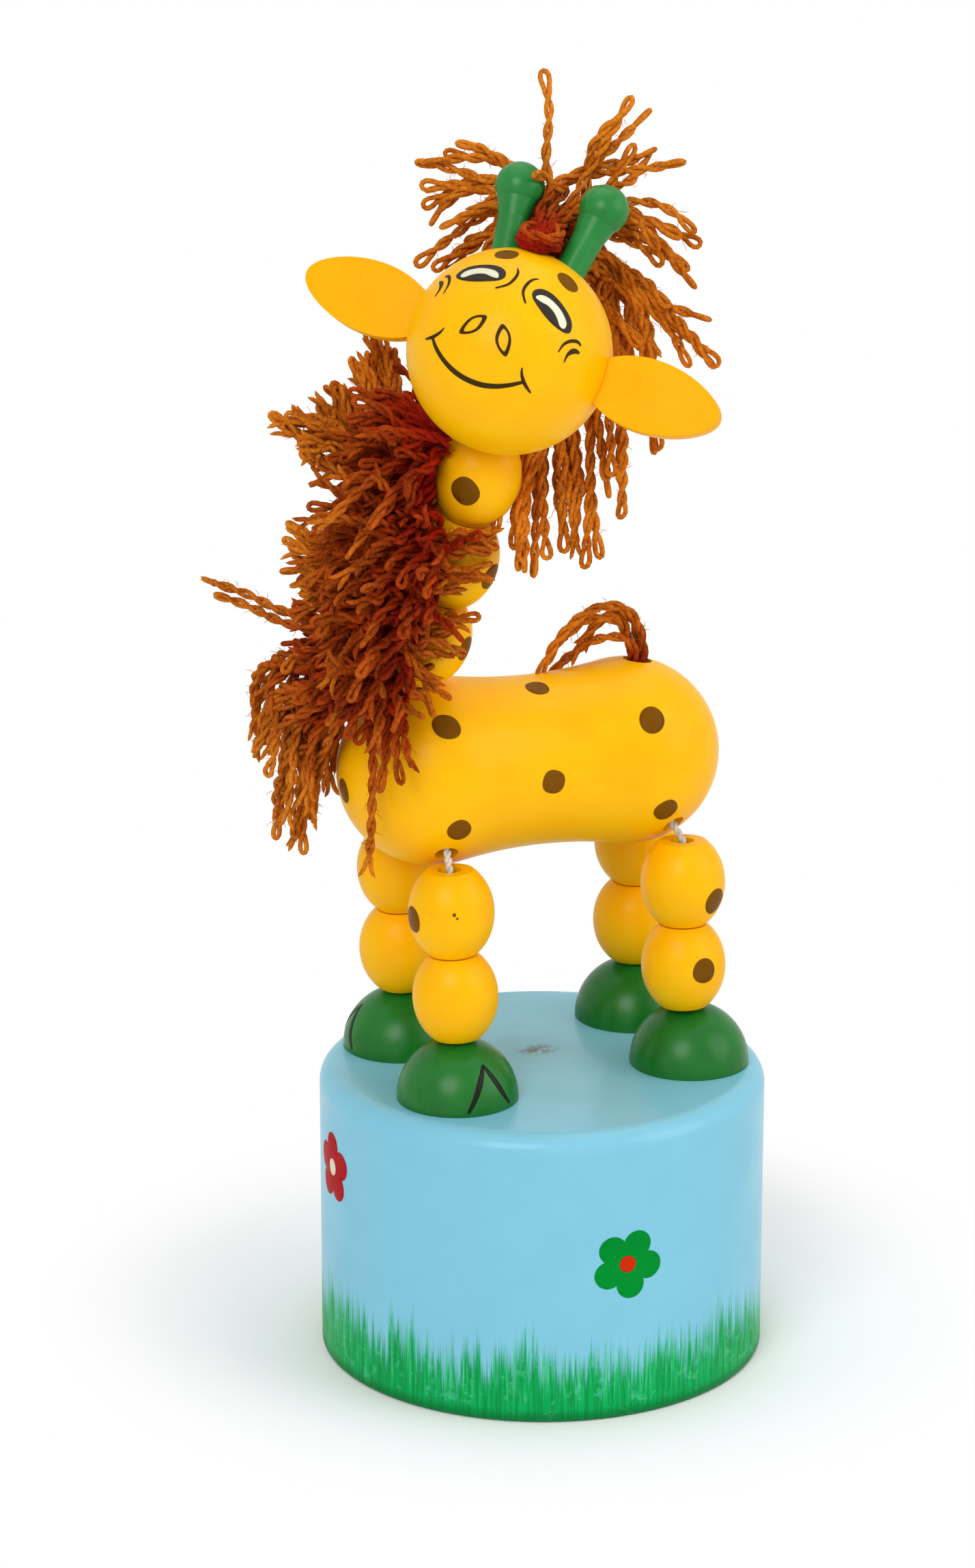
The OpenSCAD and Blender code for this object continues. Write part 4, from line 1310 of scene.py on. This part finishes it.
class PUPPET_OT_tie_forelock(Operator):
    """Tie the forelock in a bunch at the crown"""
    bl_idname = "puppet.tie_forelock"
    bl_label = "Tie forelock"

    # Added to the yarn's seed; pixels by which a bunch spreads; length over which the painted root shade
    # gives way
    seed = 11
    loose = 26
    fade = 18.0
    # Picture places of the bunches' tips, how far behind the head's middle they are, and strands in a bunch
    rising = ((798, 105, 2, 1), (917, 158, 3, 2), (945, 172, 4, 1), (957, 213, 5, 2), (955, 232, 6, 1),
              (997, 232, 4, 1), (772, 256, -1, 1))
    right = ((935, 342, 5, 2), (997, 348, 6, 2), (1010, 377, 7, 2), (1000, 400, 7, 2), (960, 390, 5, 2))
    side = ((1030, 470, 8, 1), (1055, 530, 7, 2), (900, 470, 9, 2), (925, 500, 9, 2), (955, 520, 8, 2),
            (880, 430, 9, 2), (905, 540, 10, 2), (985, 455, 7, 1), (1000, 500, 8, 1), (1010, 535, 8, 1))
    left = ((630, 235, 7, 1), (650, 220, 7, 1), (675, 210, 7, 1), (608, 252, 7, 2), (620, 280, 7, 2),
            (635, 295, 8, 2), (660, 390, 9, 1), (665, 320, 8, 1), (690, 360, 9, 1), (700, 300, 8, 2),
            (645, 330, 8, 1), (715, 350, 9, 1), (606, 392, 9, 1), (634, 402, 9, 1), (668, 398, 9, 1))
    fall = ((970, 655, 8, 2), (920, 750, 9, 1), (915, 712, 9, 2), (860, 812, 10, 2), (825, 790, 11, 3),
            (800, 820, 10, 3), (770, 832, 9, 3), (752, 795, 9, 2), (880, 700, 11, 2), (830, 735, 12, 3),
            (780, 760, 12, 3), (940, 600, 10, 2))
    # Bow and sway of each kind of bunch, where it opens in the picture, and between which depths
    bunches = (
        (rising, 0.0, 0.3, (820, 300), (2.5, 5.0)),
        (right, 0.16, 0.4, (835, 318), (5.0, 8.0)),
        (side, 0.06, 0.4, (872, 388), (8.5, 10.5)),
        (left, 0.14, 0.4, (806, 305), (5.5, 8.0)),
        (fall, 0.0, 0.45, (830, 330), (6.0, 9.5)),
    )

    def execute(self, context):
        rng = random.Random(context.scene.puppet_yarn.seed + self.seed)
        balls = [(HEAD, HEAD_R + CLEAR)] + horn_balls()
        strands = []
        for rows, bow, swing, crest, depths in self.bunches:
            for x, y, deep, count in rows:
                for k in range(count):
                    loose = 0 if k == 0 else self.loose
                    tip = (x + rng.uniform(-loose, loose), y + rng.uniform(-loose, loose),
                           deep + rng.uniform(-1, 1))
                    line = self.strand(tip, bow, crest, rng.uniform(*depths), rows is self.fall, rng)
                    strands.append((clear_of(wavy(line, swing, rng), balls), k == 0 or rng.random() < LOOPED))
        obj = yarn_piece("forelock_yarn", strands, rng, "head", fade=self.fade)
        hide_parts("forelock")
        self.wrap(rng)
        return {"FINISHED"}

    def strand(self, tip, bow, crest, depth, falls, rng):
        """Line from the crown through the place where the bunch opens to a tip"""
        x, y, deep = tip
        top_x, top_y = crest[0] + rng.gauss(0, 12), crest[1] + rng.uniform(-25, 25)
        root = CROWN + Vector((rng.gauss(0, 0.6), rng.gauss(0, 0.6), rng.uniform(-0.4, 0.4)))
        stops = [(top_x, top_y, depth)]
        if falls:
            stops.append((top_x + (x - top_x) * 0.55, rng.uniform(385, 425), 12.5))
            stops.append((top_x + (x - top_x) * 0.85, 0.45 * 405 + 0.55 * y, max(deep + 1, 11.5)))
        else:
            rise = bow * hypot(x - top_x, y - top_y)
            least = 6.5 if bow else 0
            stops.append(((top_x + x) / 2, (top_y + y) / 2 - rise, max((depth + deep) / 2, least)))
        points = [root, root + NECK_UP * 1.4] + [sighted(a, b, HEAD, c) for a, b, c in stops + [tip]]
        return through(points, 12)

    def wrap(self, rng, turns=3, points_in_turn=36, radius=1.9, rise=1.9):
        """Yarn wound round the bunch's root"""
        side = NECK_UP.orthogonal().normalized()
        across = NECK_UP.cross(side)
        path, count = [], turns * points_in_turn
        for i in range(count + 1):
            turn = tau * i / points_in_turn
            out = side * cos(turn) + across * sin(turn)
            path.append(CROWN + out * radius + NECK_UP * (0.6 + i / count * rise))
        obj = yarn_piece("crown_wrap", [(path, False)], rng, "head", downy=0, fade=80.0)
        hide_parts("crown_knot")


class PUPPET_OT_tie_tail(Operator):
    """Set the tail's strands in the rump"""
    bl_idname = "puppet.tie_tail"
    bl_label = "Tie tail"

    # Added to the yarn's seed; share of strands that end in a loop; depth of the roots
    seed = 23
    looped = 0.7
    sunk = 3.4
    # Tips in the picture, and how high each strand rises
    tips = ((792, 987, 10.2), (803, 972, 9.2), (815, 955, 6.4), (835, 978, 8.0), (808, 990, 5.2),
            (850, 952, 7.2))

    def execute(self, context):
        rng = random.Random(context.scene.puppet_yarn.seed + self.seed)
        strands = []
        for i, (x, y, rise) in enumerate(self.tips):
            tip = sighted(x, y, TAIL_ROOT, -2.2 + 0.9 * i)
            root = TAIL_ROOT + polar(tau * i / len(self.tips), 0.75, -self.sunk)
            lean = Vector((rng.uniform(-1, 0.6), rng.uniform(-0.8, 0.8), 0))
            arch = bezier(root + UP * self.sunk, root + lean + UP * (self.sunk + rise),
                          tip + Vector((2.5, 0, rise * 0.75)), tip)
            strands.append(([root, root + UP * self.sunk / 2] + arch, rng.random() < self.looped))
        obj = yarn_piece("tail_yarn", strands, rng, "trunk")
        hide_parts("tail")
        return {"FINISHED"}


class PUPPET_OT_set_stage(Operator):
    """Set the floor, lamps and camera"""
    bl_idname = "puppet.set_stage"
    bl_label = "Set stage"

    # Place and size of each lamp, and what they are aimed at, in metres
    lamps = (
        ("key", (-0.42, -0.52, 0.55), 0.46),
        ("fill", (0.55, -0.42, 0.42), 0.6),
        ("top", (0.05, 0.12, 0.75), 0.7),
    )
    aim = Vector((0, 0, 0.07))
    # Middle of the shadow on the floor, and how far from it the floor turns white
    shadow = (0.0043, 0.0112, 0)
    edge = (0.033, 0.06)

    def execute(self, context):
        scene, stage = context.scene, context.scene.puppet_stage
        deselect()
        bpy.ops.mesh.primitive_plane_add(size=6)
        floor = context.object
        floor.name = "stage_floor"
        dress(floor, finish("Pale floor", self.pale))
        for name, place, size in self.lamps:
            bpy.ops.object.light_add(type="AREA", location=place)
            lamp = context.object
            lamp.name = "lamp_" + name
            lamp.data.shape = "DISK"
            lamp.data.size = size
            lamp.data.energy = getattr(stage, name)
            lamp.rotation_euler = (self.aim - Vector(place)).to_track_quat("-Z", "Y").to_euler()
        world = bpy.data.worlds.new("Studio white")
        scene.world = world
        world.use_nodes = True
        tree = world.node_tree
        strength = calc(tree, "MAXIMUM", self.seen(tree), stage.sky)
        feed_all(tree, tree.nodes["Background"], {"Color": WHITE, "Strength": strength})
        bpy.ops.object.camera_add(location=CAMERA_AT * MM, rotation=CAMERA_TURN)
        camera = context.object
        camera.name = "stage_camera"
        camera.data.sensor_fit = "VERTICAL"
        camera.data.sensor_height = SENSOR
        camera.data.lens = LENS
        camera.data.clip_start = 0.01
        scene.camera = camera
        scene.view_settings.view_transform = "Standard"
        return {"FINISHED"}

    def seen(self, tree):
        """One for the rays that show the background, nought for those that light the puppet"""
        rays = put(tree, "LightPath").outputs
        sharp = calc(tree, "MAXIMUM", rays["Is Camera Ray"], rays["Is Glossy Ray"])
        return calc(tree, "MAXIMUM", sharp, rays["Is Transmission Ray"])

    def pale(self, tree):
        """Floor that keeps the shadow near the puppet and is plain white further out"""
        place = here(tree)
        off = put(tree, "VectorMath", {0: place, 1: self.shadow}, operation="DISTANCE").outputs["Value"]
        white = put(tree, "Emission", {"Color": WHITE, "Strength": 1.0}).outputs[0]
        share = times(tree, self.seen(tree), ramp(tree, off, *self.edge))
        shaded = tree.nodes["Principled BSDF"].outputs[0]
        blend = put(tree, "MixShader", {0: share, 1: shaded, 2: white}).outputs[0]
        feed(tree, blend, tree.nodes["Material Output"].inputs["Surface"])
        floor, dapple = bpy.context.scene.puppet_stage.floor, noise(tree, place, scale=40.0)
        return {"Base Color": mixed(tree, dapple, floor, tint(250, 250, 250)), "Roughness": 0.9}


OPERATORS = (
    PUPPET_OT_set_stage,
    PUPPET_OT_lay_cords,
    PUPPET_OT_paint_wood,
    PUPPET_OT_paint_drum,
    PUPPET_OT_paint_spots,
    PUPPET_OT_draw_face,
    PUPPET_OT_mark_hooves,
    PUPPET_OT_make_ears,
    PUPPET_OT_fit_button,
    PUPPET_OT_tie_mane,
    PUPPET_OT_tie_forelock,
    PUPPET_OT_tie_tail,
)
GROUPS = {
    "puppet_paint": PuppetPaint,
    "puppet_yarn": PuppetYarn,
    "puppet_cord": PuppetCord,
    "puppet_stage": PuppetStage,
}


class PUPPET_PT_panel(Panel):
    bl_label = "Push puppet"
    bl_space_type = "VIEW_3D"
    bl_region_type = "UI"
    bl_category = "Puppet"

    def draw(self, context):
        for operator in OPERATORS:
            self.layout.operator(operator.bl_idname)
        for name, group in GROUPS.items():
            box = self.layout.box()
            for prop in group.__annotations__:
                box.prop(getattr(context.scene, name), prop, text=prop.replace("_", " ").capitalize())


def register():
    for name, group in GROUPS.items():
        bpy.utils.register_class(group)
        setattr(bpy.types.Scene, name, PointerProperty(type=group))
    for cls in OPERATORS + (PUPPET_PT_panel,):
        bpy.utils.register_class(cls)


def unregister():
    for cls in reversed(OPERATORS + (PUPPET_PT_panel,)):
        bpy.utils.unregister_class(cls)
    for name, group in GROUPS.items():
        delattr(bpy.types.Scene, name)
        bpy.utils.unregister_class(group)


def main():
    register()
    for operator in OPERATORS:
        group, name = operator.bl_idname.split(".")
        getattr(getattr(bpy.ops, group), name)()


if __name__ == "__main__":
    main()
